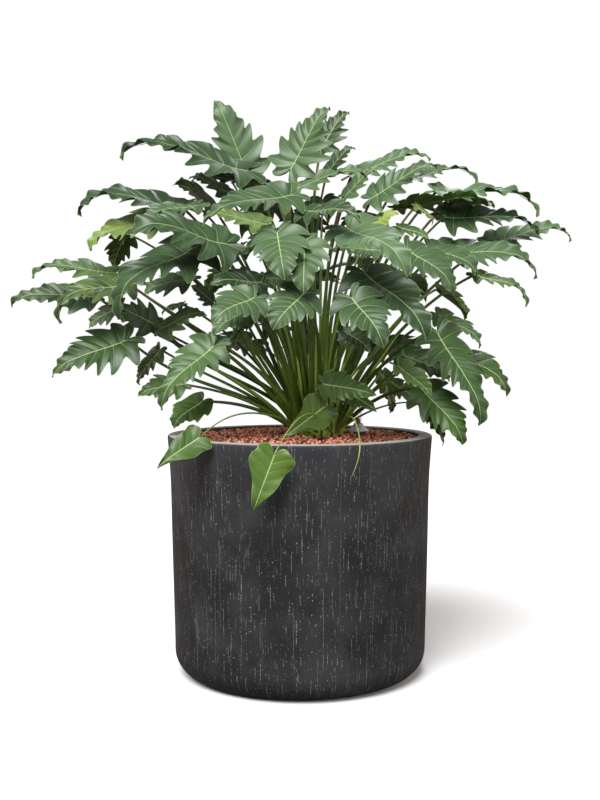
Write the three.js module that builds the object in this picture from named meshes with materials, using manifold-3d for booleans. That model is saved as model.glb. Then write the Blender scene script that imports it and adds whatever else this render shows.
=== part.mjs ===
// A potted xanadu philodendron: a round fibre-cement planter filled with clay granules, a
// float gauge for the water level, and lobed leaves on long stalks that fan out from one
// short root crown.
// Millimetres, +Z up. The origin is the centre of the planter's underside.
import * as THREE from "three";
import { mergeVertices } from "three/addons/utils/BufferGeometryUtils.js";
import Module from "manifold-3d";

const wasm = await Module();
wasm.setup();

// Planter
const RIM_RADIUS = 215;
const PLANTER_HEIGHT = 387;
const WAIST_RADIUS = 210;
const WAIST_HEIGHT = 317;
const FOOT_RADIUS = 204.5;
const FOOT_ROUNDING = 39;
const INNER_ROUNDING = 20;
const RIM_ROUNDING = 4;
const WALL = 23;
const FLOOR = 26;
const ROUND_SIDES = 24;
const GAP = 0.3;

// Clay granules, a little higher in the middle than at the wall
const GRANULES_AT_WALL = 380;
const GRANULES_MIDDLE = 384.5;
const GRANULES_LEVEL_SHARE = 0.6;

// Root crown: an upright oval plug in the granules that the leaf stalks stand in
const CROWN = { x: 26, y: 12, halfWidth: 42, halfDepth: 66, bottom: 250, top: 385 };
const CROWN_SIDES = 20;
const RING_SIZES = [1, 6, 12, 18, 24];
const RING_MARGIN = 7;
const FOOT_DEPTH = 22;
const HOLE_ROOM = 2.2;
const HOLE_SIDES = 4;
const LEAN_HEIGHT = 120;

// Float gauge: a clear tube down to the planter's floor, a bell on a ring round its foot,
// a float inside it and a cap
const GAUGE = { x: 97.3, y: 38, radius: 6.5, wall: 1.2, bottom: 60, top: 450 };
const BELL = { radius: 17.5, neck: 9.5, bottom: 388, top: 401, lip: 2, shoulder: 4 };
const RING = { radius: 18.5, bottom: 385.3, top: 387.7 };
const FLOAT = { radius: 4, bottom: 80, top: 409 };
const CAP = { radius: 8, top: 459, slope: 3 };
const GAUGE_SIDES = 10;
const FLOAT_SIDES = 8;

// Stalks: how they leave the crown and arrive at the blade, as shares of their length or of
// the way they go
const STALK_FOOT_RADIUS = 4.2;
const STALK_END_RADIUS = 2;
const STALK_CLEARANCE = 4;
const STALK_LEAVE = { up: 0.42, share: 0.38, aside: 0.7 };
const STALK_ARRIVE = { along: 0.3, down: 0.12, share: 0.33 };
const STALK_STEPS = 4;
const STALK_SIDES = 3;
const LATER_STALK_SCALE = 0.85;

// Blades, with places in blade lengths and angles in degrees from the midrib. A stalk ends
// a little way under its blade.
const BLADE_HALF_THICKNESS = 0.7;
const STALK_END = { place: 0.08, lift: -0.28 };
const ARCH_SCALE = 6.75;
const EDGE_DROOP = 0.55;
const FACE_UP = 0.3;
const HEART_HEIGHT = 480;

// Lobes: where their veins leave the midrib, how far they turn from it and reach, the place
// past the last one, and how deep the bays between them are
const LOBE_ROOTS = { from: 0.02, spread: 0.58, power: 1.1, ribEnd: 0.77 };
const LOBE_ANGLES = { front: 36, spread: 95, power: 2.6, play: 8 };
const LOBE_REACH = { longest: 0.42, widest: 1.8, behind: 0.4, ahead: 0.6, play: 0.2 };
const PAST_LAST = { ahead: 0.22, angle: 30, share: 0.65 };
const CUT_BAY = 0.58;
const WHOLE_BAY = 1;
const FIRST_BAY_SHARE = 1.12;

// Young leaves: an uncut heart that is widest near its base, on a thin stalk
const HEART = { bay: WHOLE_BAY, reach: { ...LOBE_REACH, widest: 1, ahead: 0.95 }, slim: 0.5 };

// The leaf table is read as the plant is seen from the front: x and z are where a point
// shows against the upright plane through the planter's axis, from an eye at this place,
// and y is how far the point truly lies behind that plane.
const EYE = { distance: 1800, height: 531 };

const COLOURS = {
  planter: 0x38383a,
  granules: 0x8f5a48,
  crown: 0x5a4630,
  leaf: 0x4f6f45,
  clear: 0xd8dcd8,
  grey: 0x6d7074,
  red: 0xa83a34,
};

// A leaf: base x, z, y, then tip x, z, y, how high the midrib arches (mm), how much the
// upper face turns to the front (0 faces out and up, 1 half to the front, less than 0 shows
// the underside) and the lobes on a side. It may also have a width (1 is usual), how far
// the halves fold up (degrees), how far the bays between lobes stay out from the midrib
// (1 is an uncut edge), the rule for the lobes' reach, how far the stalk arches over before
// the blade (mm, less than 0 sags), and how thick the stalk is (1 is usual).
const leaf = (base, tip, bow, show, lobes, extras = {}) => ({
  base, tip, bow, show, lobes, width: 1, fold: 10, bay: CUT_BAY, reach: LOBE_REACH, rise: 0, slim: 1, ...extras,
});

// Each shoot is one or more leaves that grow from the same place in the crown.
const SHOOTS = {
  left_heart: [
    leaf([-164, 381, -172], [-235, 328, -200], 8, 0.8, 4, { ...HEART, width: 0.9, rise: 45 }),
  ],
  top_left: [
    leaf([-82, 800, 110], [-137, 926, 130], 10, 1, 5, { width: 0.85 }),
    leaf([-113, 803, 150], [-170, 826, 160], 8, 0.4, 4),
  ],
  long_left: [leaf([-84, 812, 0], [-292, 835, -30], 29, 0.65, 6, { width: 0.85 })],
  top_middle: [leaf([-15, 815, -40], [49, 912, -20], 12, 1, 6, { width: 1.1 })],
  top_right: [
    leaf([32, 845, 60], [80, 905, 80], 10, 1, 5),
    leaf([42, 808, 30], [90, 848, 30], 8, 0.8, 4, { width: 1.1 }),
    leaf([73, 772, 0], [130, 815, -10], 8, 0.8, 4),
  ],
  high_front: [
    leaf([-15, 782, -70], [107, 803, -90], 14, 0.55, 5, { width: 0.75 }),
    leaf([118, 725, -60], [160, 743, -70], 6, 1, 4, { bay: WHOLE_BAY }),
  ],
  bright_left: [
    leaf([-13, 774, -130], [-159, 722, -210], 20, 0.65, 6, { width: 0.8 }),
    leaf([-60, 728, -40], [-154, 738, -60], 8, 0.7, 4),
  ],
  bright_right: [leaf([10, 748, -140], [99, 730, -210], 14, 0.5, 6, { width: 0.85 })],
  dark_left: [
    leaf([-47, 790, 70], [-177, 796, 60], 10, -0.3, 5, { width: 0.55 }),
    leaf([-118, 778, 40], [-180, 800, 30], 8, 1, 4),
  ],
  arching_left: [leaf([-190, 754, -10], [-360, 742, -30], 31, 0.6, 6, { width: 0.9 })],
  left_under: [
    leaf([-138, 754, 40], [-206, 790, 60], 8, -0.5, 4, { width: 1.2 }),
    leaf([-165, 757, -50], [-251, 727, -80], 12, 0.6, 5),
  ],
  yellow_left: [
    leaf([-215, 742, -50], [-342, 685, -80], 14, 0.8, 6, { width: 1.1 }),
    leaf([-282, 712, 50], [-302, 656, 50], 8, -1.8, 4, { width: 1.2 }),
  ],
  big_left: [leaf([-118, 695, -100], [-288, 695, -150], 34, 0.6, 6, { width: 1 })],
  large_left_front: [leaf([-173, 690, -130], [-290, 567, -180], 42, 0.8, 6, { width: 1.1 })],
  far_left: [
    leaf([-330, 610, 30], [-470, 594, 20], 18, 0.75, 6, { width: 0.7, bay: 0.8, rise: -60 }),
    leaf([-300, 648, -10], [-436, 641, -20], 18, 0.45, 6, { width: 0.7, rise: -40 }),
    leaf([-290, 596, 0], [-343, 558, 0], 6, 1.2, 4, { rise: -60 }),
  ],
  far_left_bright: [leaf([-280, 632, -60], [-392, 566, -90], 34, 0.8, 6, { rise: -40 })],
  low_left: [leaf([-280, 540, -70], [-405, 479, -100], 14, 1, 6, { width: 1, rise: -70 })],
  inner_left: [
    leaf([-238, 566, -30], [-300, 594, -40], 8, 0.8, 4, { width: 1.2, rise: -50 }),
    leaf([-190, 598, 0], [-224, 580, 0], 5, 0.8, 4),
    leaf([-178, 642, -30], [-254, 612, -30], 6, 0.6, 4, { width: 1.2, rise: -30 }),
    leaf([-112, 664, 60], [-84, 698, 70], 4, 0.8, 4),
  ],
  edge_left: [
    leaf([-224, 559, -60], [-151, 580, -80], 10, 0.4, 4),
    leaf([-143, 602, -60], [-178, 628, -70], 6, 0.7, 4),
    leaf([-228, 524, -20], [-262, 466, -20], 8, 1, 4, { rise: -40 }),
  ],
  low_left_front: [leaf([-139, 532, -130], [-227, 424, -170], 24, 0.9, 6, { width: 0.85 })],
  low_left_round: [
    leaf([-159, 440, -100], [-207, 394, -130], 10, 0.9, 4, { width: 1.1, bay: 0.85 }),
    leaf([-190, 468, -60], [-264, 447, -70], 12, 0.7, 4),
  ],
  front_left: [leaf([-73, 609, -200], [-144, 562, -250], 14, 0.9, 5, { width: 1.1 })],
  front_left_under: [
    leaf([-75, 594, -160], [-141, 546, -190], 10, 0.8, 5),
    leaf([-75, 581, -130], [-107, 526, -140], 8, 0.8, 4, { fold: 50 }),
  ],
  middle_left: [
    leaf([-63, 633, -120], [-149, 623, -160], 12, 0.6, 5),
    leaf([-60, 641, -90], [-8, 627, -120], 8, 0.8, 4),
  ],
  folded_middle: [
    leaf([-47, 712, -90], [-89, 662, -110], 8, 0.8, 4, { fold: 50 }),
    leaf([-37, 713, -180], [-24, 636, -240], 14, 1, 5, { width: 1.25 }),
  ],
  front_middle: [leaf([8, 700, -200], [6, 612, -250], 12, 1, 5, { width: 1.05 })],
  front_low_middle: [leaf([6, 615, -230], [-44, 555, -270], 12, 1, 5, { width: 1.25 })],
  front_low_right: [
    leaf([84, 608, -200], [136, 526, -250], 16, 0.9, 5, { width: 1.15 }),
    leaf([73, 554, -140], [115, 518, -160], 8, 0.8, 4),
  ],
  large_right_front: [leaf([105, 648, -160], [206, 536, -240], 24, 0.9, 6, { width: 0.9 })],
  large_right_upper: [
    leaf([75, 722, -150], [175, 638, -240], 28, 0.8, 6, { width: 0.9 }),
    leaf([126, 685, -80], [50, 680, -90], 8, 0.6, 5),
  ],
  right_pair: [
    leaf([172, 688, -100], [246, 612, -130], 18, 1, 5, { width: 1.1 }),
    leaf([207, 690, -50], [288, 641, -80], 14, 1, 5, { width: 1.05 }),
    leaf([160, 722, -50], [209, 699, -60], 6, 0.8, 4),
  ],
  right_long: [leaf([226, 684, -30], [386, 640, -50], 28, 0.75, 6, { width: 0.8 })],
  right_outer: [leaf([284, 646, -60], [368, 593, -80], 20, 0.6, 5, { width: 0.7 })],
  right_top_long: [
    leaf([222, 780, 20], [387, 740, 0], 26, 0.5, 6, { width: 0.8 }),
    leaf([188, 756, -60], [214, 725, -70], 6, 0.4, 4),
    leaf([153, 752, -20], [311, 759, -40], 14, -0.5, 6, { width: 0.5 }),
  ],
  right_dark: [
    leaf([222, 746, 40], [316, 755, 50], 10, -0.6, 5, { width: 0.8 }),
    leaf([233, 738, 0], [387, 706, 10], 24, 0.7, 6, { width: 0.75 }),
  ],
  far_right: [leaf([305, 697, 30], [441, 701, 40], 24, 0.6, 6, { width: 0.75 })],
  upper_right: [leaf([84, 806, 20], [212, 832, 10], 14, 0.8, 6, { width: 0.8 })],
  upper_right_back: [leaf([162, 797, 60], [288, 792, 50], 24, 0.7, 6, { width: 0.7 })],
  upper_right_front: [leaf([115, 768, -40], [222, 820, -60], 11, 0.9, 6, { width: 0.9 })],
  drooping_right: [leaf([222, 554, -120], [293, 399, -150], 20, 0.9, 6, { width: 0.8 })],
  low_right: [
    leaf([197, 462, -110], [266, 368, -130], 16, 1, 5, { width: 1.05 }),
    leaf([200, 438, -70], [234, 366, -90], 8, 1, 4, { width: 0.6, slim: 0.6 }),
    leaf([135, 486, -30], [147, 420, -40], 6, 1.2, 4, { bay: 0.85, width: 0.8 }),
  ],
  right_middle: [
    leaf([225, 580, -60], [293, 526, -80], 12, 0.6, 5),
    leaf([222, 622, -20], [267, 570, -20], 8, 0.6, 4, { fold: 50 }),
    leaf([165, 516, -80], [245, 472, -100], 12, 1, 5, { width: 1.1 }),
  ],
  right_behind: [
    leaf([240, 524, -40], [337, 447, -60], 22, 0.9, 5, { width: 0.9 }),
    leaf([160, 497, -150], [215, 446, -180], 6, 0.8, 4, { fold: 40 }),
    leaf([150, 470, -50], [192, 436, -60], 6, 1, 4, { slim: 0.6 }),
  ],
  front_low: [
    leaf([38, 468, -110], [126, 449, -150], 16, 0.8, 5, { width: 0.8 }),
    leaf([71, 458, -80], [126, 421, -100], 8, 0.5, 4, { width: 0.8 }),
  ],
  front_edge: [
    leaf([40, 431, -110], [-28, 381, -140], 8, 0.8, 4, { ...HEART, width: 0.85 }),
    leaf([-42, 352, -236], [-76, 259, -232], 6, 1, 4, { ...HEART, width: 0.9, rise: 60 }),
    leaf([101, 360, -228], [84, 314, -226], 4, 0.8, 4, { ...HEART, width: 0.2, rise: 50 }),
  ],
};

// Leaves of the back half, which the front view hides: one rule spreads them in tiers, with
// every second leaf of a tier higher.
const BACK_TIERS = [
  { count: 5, reach: 195, height: 550, length: 150, bow: 24, lobes: 4 },
  { count: 5, reach: 190, height: 665, length: 150, bow: 24, lobes: 4 },
  { count: 4, reach: 115, height: 765, length: 130, bow: 18, lobes: 4 },
];
const BACK_FROM = 40;
const BACK_TO = 140;
const BACK_SHOW = -0.7;
const BACK_STAGGER = 18;
const BACK_PLAY = { turn: 0.5, reach: 0.3, height: 20, drop: 0.4 };
const BACK_LEAST_DROP = 0.1;
const BACK_SPREAD = 0.85;
const BACK_SHOOT_SIZE = 3;
const BACK_SEED = 23;

// A seed for each leaf's outline, and how far apart they are
const FIRST_SEED = 1;
const SEED_STEP = 7919;

// How a leaf may be shifted in depth and its stalk bowed aside to clear the others
const DEPTH_SHIFTS = [0, 12, -12, 24, -24, 36, -36, 50, -50, 65, -65];
const STALK_BOWS = [0, 15, -15, 30, -30, 50, -50, 75, -75];

// The same row of numbers from the same seed, from 0 to 1
function drawer(seed) {
  let state = seed;
  return () => {
    state = (state * 16807) % 2147483647;
    return state / 2147483647;
  };
}

const radians = (degrees) => (degrees * Math.PI) / 180;
const vector = (x, y, z) => new THREE.Vector3(x, y, z);

// A seen place [x, z, y] of the table as a true point
function truePoint([x, z, y], shift = 0) {
  const depth = y + shift;
  const nearer = (EYE.distance + depth) / EYE.distance;
  return vector(x * nearer, depth, EYE.height + (z - EYE.height) * nearer);
}

// A closed geometry as a solid that can be joined and cut
function solidOf(geometry) {
  const bare = geometry.clone();
  bare.deleteAttribute("normal");
  bare.deleteAttribute("uv");
  const merged = mergeVertices(bare, 1e-4);
  return new wasm.Manifold(new wasm.Mesh({
    numProp: 3,
    vertProperties: new Float32Array(merged.attributes.position.array),
    triVerts: new Uint32Array(merged.index.array),
  }));
}

function geometryOf(solid) {
  const mesh = solid.getMesh();
  const geometry = new THREE.BufferGeometry();
  geometry.setAttribute("position", new THREE.BufferAttribute(new Float32Array(mesh.vertProperties), 3));
  geometry.setIndex(Array.from(mesh.triVerts));
  geometry.computeVertexNormals();
  return geometry;
}

function solidFromFaces(positions, faces) {
  return new wasm.Manifold(new wasm.Mesh({
    numProp: 3,
    vertProperties: new Float32Array(positions.flatMap((p) => [p.x, p.y, p.z])),
    triVerts: new Uint32Array(faces.flat()),
  }));
}

// A profile of [radius, height] points turned round the upright axis through a place
function lathe(points, sides = ROUND_SIDES, at = { x: 0, y: 0 }) {
  const profile = points.map(([radius, height]) => new THREE.Vector2(radius, height));
  const geometry = new THREE.LatheGeometry(profile, sides);
  geometry.rotateX(Math.PI / 2);
  geometry.translate(at.x, at.y, 0);
  return geometry;
}

// Points on a round about (x, z), from one angle to another
function arc(x, z, radius, from, to, steps) {
  const points = [];
  for (let i = 0; i <= steps; i += 1) {
    const angle = radians(from + ((to - from) * i) / steps);
    points.push([x + radius * Math.cos(angle), z + radius * Math.sin(angle)]);
  }
  return points;
}

function planterGeometry() {
  const inner = RIM_RADIUS - WALL;
  const innerFoot = FOOT_RADIUS - WALL;
  const rimMiddle = PLANTER_HEIGHT - RIM_ROUNDING;
  return lathe([
    [0, 0],
    ...arc(FOOT_RADIUS - FOOT_ROUNDING, FOOT_ROUNDING, FOOT_ROUNDING, -90, 0, 4),
    [WAIST_RADIUS, WAIST_HEIGHT],
    ...arc(RIM_RADIUS - RIM_ROUNDING, rimMiddle, RIM_ROUNDING, 0, 90, 2),
    ...arc(inner + RIM_ROUNDING, rimMiddle, RIM_ROUNDING, 90, 180, 2),
    ...arc(innerFoot - INNER_ROUNDING, FLOOR + INNER_ROUNDING, INNER_ROUNDING, 0, -90, 2),
    [0, FLOOR],
  ]);
}

// The granules fill the planter round the crown and the gauge's tube
function granuleSolid() {
  const innerFoot = FOOT_RADIUS - WALL - GAP;
  const wallFoot = FLOOR + INNER_ROUNDING;
  const widening = (RIM_RADIUS - FOOT_RADIUS) / (PLANTER_HEIGHT - RIM_ROUNDING - wallFoot);
  const atWall = innerFoot + (GRANULES_AT_WALL - wallFoot) * widening;
  const bed = solidOf(lathe([
    [0, FLOOR + GAP],
    ...arc(innerFoot - INNER_ROUNDING, wallFoot + GAP, INNER_ROUNDING, -90, 0, 2),
    [atWall - GAP, GRANULES_AT_WALL],
    [atWall * GRANULES_LEVEL_SHARE, GRANULES_MIDDLE],
    [0, GRANULES_MIDDLE],
  ]));
  const pocket = oval(GAP, CROWN.bottom - GAP, PLANTER_HEIGHT);
  const shaft = upright(GAUGE, GAUGE.radius + GAP, GAUGE.bottom - GAP, PLANTER_HEIGHT, GAUGE_SIDES);
  return bed.subtract(pocket).subtract(shaft);
}

// An upright round bar at a place
function upright(at, radius, bottom, top, sides) {
  const geometry = new THREE.CylinderGeometry(radius, radius, top - bottom, sides);
  geometry.rotateX(Math.PI / 2);
  geometry.translate(at.x, at.y, (bottom + top) / 2);
  return solidOf(geometry);
}

// An upright bar of the crown's outline, larger by a margin
function oval(margin, bottom, top) {
  const geometry = new THREE.CylinderGeometry(1, 1, top - bottom, CROWN_SIDES);
  geometry.rotateX(Math.PI / 2);
  geometry.scale(CROWN.halfWidth + margin, CROWN.halfDepth + margin, 1);
  geometry.translate(CROWN.x, CROWN.y, (bottom + top) / 2);
  return solidOf(geometry);
}

// The crown, with a hole for each shoot's first stalk
function crownSolid(feet) {
  const hole = (foot) => upright(foot, STALK_FOOT_RADIUS + HOLE_ROOM,
    CROWN.top - FOOT_DEPTH - GAP, PLANTER_HEIGHT, HOLE_SIDES);
  return feet.reduce((crown, foot) => crown.subtract(hole(foot)), oval(0, CROWN.bottom, CROWN.top));
}

// The gauge's pieces as closed profiles round its own axis
function gaugeGeometries() {
  const bore = GAUGE.radius - GAUGE.wall;
  const round = GAUGE.radius + GAP;
  const sleeve = (points) => lathe([...points, points[0]], GAUGE_SIDES, GAUGE);
  return {
    tube: sleeve([[bore, GAUGE.bottom], [GAUGE.radius, GAUGE.bottom], [GAUGE.radius, GAUGE.top],
      [bore, GAUGE.top]]),
    ring: sleeve([[round, RING.bottom], [RING.radius, RING.bottom], [RING.radius, RING.top],
      [round, RING.top]]),
    bell: sleeve([[round, BELL.bottom], [BELL.radius, BELL.bottom],
      [BELL.radius, BELL.bottom + BELL.lip], [BELL.neck + BELL.lip, BELL.top - BELL.shoulder],
      [BELL.neck, BELL.top], [round, BELL.top]]),
    float: lathe([[0, FLOAT.bottom], [FLOAT.radius, FLOAT.bottom], [FLOAT.radius, FLOAT.top],
      [0, FLOAT.top]], FLOAT_SIDES, GAUGE),
    cap: lathe([[0, GAUGE.top + GAP], [CAP.radius, GAUGE.top + GAP],
      [CAP.radius, CAP.top - CAP.slope], [CAP.radius - CAP.slope, CAP.top], [0, CAP.top]],
    GAUGE_SIDES, GAUGE),
  };
}

// How a blade lies in space: at(x, y, lift) is a point x along and y across it, in blade
// lengths, raised by lift millimetres. The midrib runs straight and then arches down to
// the tip, the halves fold up and their edges droop.
function bladeFrame(row, shift) {
  const base = truePoint(row.base, shift);
  const tip = truePoint(row.tip, shift);
  const along = tip.clone().sub(base);
  const length = along.length();
  along.normalize();
  const middle = base.clone().add(tip).multiplyScalar(0.5);
  const outward = middle.sub(vector(CROWN.x, CROWN.y, HEART_HEIGHT)).normalize();
  outward.add(vector(0, -row.show, FACE_UP));
  const face = outward.addScaledVector(along, -outward.dot(along)).normalize();
  const across = face.clone().cross(along);
  const flat = Math.cos(radians(row.fold));
  const climb = Math.sin(radians(row.fold));
  const at = (x, y, lift) => {
    const ahead = Math.max(x, 0);
    const slope = (row.bow * ARCH_SCALE * ahead * (2 - 3 * ahead)) / length;
    const normal = face.clone().addScaledVector(along, -slope).normalize();
    const height = length * (climb * Math.abs(y) - EDGE_DROOP * y * y) + lift;
    return base.clone()
      .addScaledVector(along, length * x)
      .addScaledVector(face, row.bow * ARCH_SCALE * ahead * ahead * (1 - ahead))
      .addScaledVector(across, length * y * flat)
      .addScaledVector(normal, height);
  };
  return { at, along };
}

// The outline of one half of a flat blade, in blade lengths: for each lobe, where its vein
// leaves the midrib, its tip, and the bay in front of it.
function halfOutline(row, draw) {
  const { lobes, reach } = row;
  const { widest } = reach;
  const veins = [];
  for (let k = 0; k < lobes; k += 1) {
    const shorter = k < widest
      ? reach.behind * ((k - widest) / widest) ** 2
      : reach.ahead * ((k - widest) / (lobes - widest)) ** 2;
    const turned = LOBE_ANGLES.spread * (1 - k / (lobes - 1)) ** LOBE_ANGLES.power;
    veins.push({
      root: LOBE_ROOTS.from + LOBE_ROOTS.spread * (k / lobes) ** LOBE_ROOTS.power,
      angle: LOBE_ANGLES.front + turned + LOBE_ANGLES.play * (draw() - 0.5),
      reach: reach.longest * row.width * (1 - shorter) * (1 + reach.play * (draw() - 0.5)),
    });
  }
  const last = veins[lobes - 1];
  const pastLast = {
    root: last.root + PAST_LAST.ahead,
    angle: PAST_LAST.angle,
    reach: last.reach * PAST_LAST.share,
  };
  return veins.map((vein, k) => {
    const next = veins[k + 1] ?? pastLast;
    const depth = k === 0 ? Math.min(row.bay * FIRST_BAY_SHARE, WHOLE_BAY) : row.bay;
    return {
      root: vein.root,
      tip: place(vein.root, vein.angle, vein.reach),
      bay: place((vein.root + next.root) / 2, (vein.angle + next.angle) / 2,
        (depth * (vein.reach + next.reach)) / 2),
    };
  });
}

// A place in the flat blade, from where a vein leaves the midrib, its angle and its length
function place(root, angle, reach) {
  return [root + reach * Math.cos(radians(angle)), reach * Math.sin(radians(angle))];
}

// A closed blade: the same triangles on its two faces, and a strip round the edge
function bladeSolid(row, frame, draw) {
  const flat = [];
  const add = (x, y) => flat.push([x, y]) - 1;
  const halves = [halfOutline(row, draw), halfOutline(row, draw)];
  const count = row.lobes;
  const rib = halves[0].map((vein) => add(vein.root, 0));
  rib.push(add(LOBE_ROOTS.ribEnd, 0));
  const tip = add(1, 0);
  const faces = [];
  const edges = halves.map((half, which) => {
    const side = which === 0 ? 1 : -1;
    const lobeTips = half.map((vein) => add(vein.tip[0], side * vein.tip[1]));
    const bays = half.map((vein) => add(vein.bay[0], side * vein.bay[1]));
    const face = (a, b, c) => faces.push(side > 0 ? [a, b, c] : [a, c, b]);
    for (let k = 0; k < count; k += 1) {
      face(rib[k], bays[k], lobeTips[k]);
      face(rib[k], rib[k + 1], bays[k]);
      if (k > 0) face(rib[k], lobeTips[k], bays[k - 1]);
    }
    face(rib[count], tip, bays[count - 1]);
    return lobeTips.flatMap((lobe, k) => [lobe, bays[k]]);
  });
  const loop = [tip, ...edges[0].reverse(), rib[0], ...edges[1]];
  const total = flat.length;
  const positions = [
    ...flat.map(([x, y]) => frame.at(x, y, BLADE_HALF_THICKNESS)),
    ...flat.map(([x, y]) => frame.at(x, y, -BLADE_HALF_THICKNESS)),
  ];
  const skin = faces.flatMap(([a, b, c]) => [[a, b, c], [a + total, c + total, b + total]]);
  const strip = loop.flatMap((a, i) => {
    const b = loop[(i + 1) % loop.length];
    return [[a + total, b + total, b], [a + total, b, a]];
  });
  return solidFromFaces(positions, [...skin, ...strip]);
}

// The line of the stalk: points of a cubic curve from the crown to the blade
function stalkLine(from, blade, bow, rise) {
  const to = blade.at(STALK_END.place, 0, STALK_END.lift);
  const away = to.clone().sub(from);
  const length = away.length();
  away.normalize();
  const up = vector(0, 0, 1);
  const aside = away.clone().cross(up).normalize().multiplyScalar(bow);
  const leave = away.clone().addScaledVector(up, STALK_LEAVE.up).normalize();
  const arrive = away.clone().addScaledVector(blade.along, STALK_ARRIVE.along)
    .addScaledVector(up, -STALK_ARRIVE.down).normalize();
  const first = from.clone().addScaledVector(leave, STALK_LEAVE.share * length)
    .addScaledVector(aside, STALK_LEAVE.aside);
  const second = to.clone().addScaledVector(arrive, -STALK_ARRIVE.share * length).add(aside);
  second.z += rise;
  return new THREE.CubicBezierCurve3(from, first, second, to).getPoints(STALK_STEPS);
}

// A closed tube along a list of points, its radius tapering
function tube(points, radii) {
  const positions = [];
  let across = vector(1, 0, 0);
  points.forEach((point, i) => {
    const before = points[Math.max(i - 1, 0)];
    const ahead = points[Math.min(i + 1, points.length - 1)].clone().sub(before).normalize();
    across = across.clone().addScaledVector(ahead, -across.dot(ahead)).normalize();
    const other = ahead.clone().cross(across);
    for (let k = 0; k < STALK_SIDES; k += 1) {
      const angle = (2 * Math.PI * k) / STALK_SIDES;
      positions.push(point.clone()
        .addScaledVector(across, radii[i] * Math.cos(angle))
        .addScaledVector(other, radii[i] * Math.sin(angle)));
    }
  });
  const end = (points.length - 1) * STALK_SIDES;
  const faces = [[0, 2, 1], [end, end + 1, end + 2]];
  for (let i = 0; i < end; i += STALK_SIDES) {
    for (let k = 0; k < STALK_SIDES; k += 1) {
      const a = i + k;
      const b = i + ((k + 1) % STALK_SIDES);
      faces.push([a, b, b + STALK_SIDES], [a, b + STALK_SIDES, a + STALK_SIDES]);
    }
  }
  return solidFromFaces(positions, faces);
}

// A stalk from its line. The shoot's first one starts down in the crown's hole, and the
// others, a little thinner, start inside the first.
function stalkSolid(foot, line, slim, isFirst) {
  const under = foot.clone().setZ(CROWN.top - FOOT_DEPTH);
  const points = isFirst ? [under, ...line] : line;
  const scale = slim * (isFirst ? 1 : LATER_STALK_SCALE);
  const radii = points.map((_, i) => scale * THREE.MathUtils.lerp(STALK_FOOT_RADIUS,
    STALK_END_RADIUS, i / (points.length - 1)));
  return tube(points, radii);
}

// The rule for the hidden half
function backShoots() {
  const draw = drawer(BACK_SEED);
  const shoots = {};
  BACK_TIERS.forEach((tier, t) => {
    for (let i = 0; i < tier.count; i += 1) {
      const share = (i + 0.5 + BACK_PLAY.turn * (draw() - 0.5)) / tier.count;
      const turn = radians(BACK_FROM + (BACK_TO - BACK_FROM) * share);
      const reach = tier.reach * (1 + BACK_PLAY.reach * (draw() - 0.5));
      const stagger = BACK_STAGGER * (i % 2 === 0 ? -1 : 1);
      const height = tier.height + stagger + BACK_PLAY.height * (draw() - 0.5);
      const drop = tier.length * (BACK_LEAST_DROP + BACK_PLAY.drop * draw());
      const out = reach + tier.length * BACK_SPREAD;
      const name = `back_${t + 1}_${Math.floor(i / BACK_SHOOT_SIZE) + 1}`;
      shoots[name] ??= [];
      shoots[name].push(leaf(seenAt(turn, reach, height), seenAt(turn, out, height - drop),
        tier.bow, BACK_SHOW, tier.lobes));
    }
  });
  return shoots;
}

// A true place about the crown's axis, written as the leaf table writes it
function seenAt(turn, radius, z) {
  const y = CROWN.y + radius * Math.sin(turn);
  const nearer = (EYE.distance + y) / EYE.distance;
  return [(CROWN.x + radius * Math.cos(turn)) / nearer, EYE.height + (z - EYE.height) / nearer, y];
}

// Each shoot's place in the crown: the more it leans, the further out its ring, and round
// each ring the shoots stand in the order of the way they lean.
function footPlaces(shoots) {
  const leans = Object.entries(shoots).map(([name, rows]) => {
    const base = truePoint(rows[0].base);
    const x = base.x - CROWN.x;
    const y = base.y - CROWN.y;
    const lean = Math.hypot(x, y) / (base.z - CROWN.top + LEAN_HEIGHT);
    return { name, lean, way: Math.atan2(y, x) };
  });
  leans.sort((a, b) => a.lean - b.lean);
  const places = {};
  let first = 0;
  RING_SIZES.forEach((size, ring) => {
    const members = leans.slice(first, first + size).sort((a, b) => a.way - b.way);
    first += size;
    const spacing = (2 * Math.PI) / members.length;
    const offset = members.reduce((sum, m, i) => sum + m.way - i * spacing, 0) / members.length;
    const share = ring / (RING_SIZES.length - 1);
    members.forEach((member, i) => {
      places[member.name] = vector(
        CROWN.x + (CROWN.halfWidth - RING_MARGIN) * share * Math.cos(offset + i * spacing),
        CROWN.y + (CROWN.halfDepth - RING_MARGIN) * share * Math.sin(offset + i * spacing),
        CROWN.top + STALK_CLEARANCE,
      );
    });
  });
  return places;
}

// Whether a solid reaches into one of those already placed
function touches(solid, others) {
  const box = solid.boundingBox();
  return others.some((other) => {
    const near = [0, 1, 2].every((i) => box.min[i] < other.box.max[i] && box.max[i] > other.box.min[i]);
    return near && !solid.intersect(other.solid).isEmpty();
  });
}

// A leaf that is clear of the others: the first depth and stalk that touch nothing
function clearLeaf(row, foot, seed, isFirst, others) {
  for (const shift of DEPTH_SHIFTS) {
    const frame = bladeFrame(row, shift);
    const blade = bladeSolid(row, frame, drawer(seed));
    if (touches(blade, others)) continue;
    for (const bow of STALK_BOWS) {
      const stalk = stalkSolid(foot, stalkLine(foot, frame, bow, row.rise), row.slim, isFirst);
      if (!touches(stalk, others)) return blade.add(stalk);
    }
  }
  throw new Error(`no clear place for the leaf of seed ${seed}`);
}

const group = new THREE.Group();
const placed = [];

function addPart(name, geometry, colour, roughness) {
  const material = new THREE.MeshStandardMaterial({ color: colour, roughness, metalness: 0 });
  const mesh = new THREE.Mesh(geometry, material);
  mesh.name = name;
  group.add(mesh);
  const solid = solidOf(geometry);
  placed.push({ solid, box: solid.boundingBox() });
}

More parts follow.
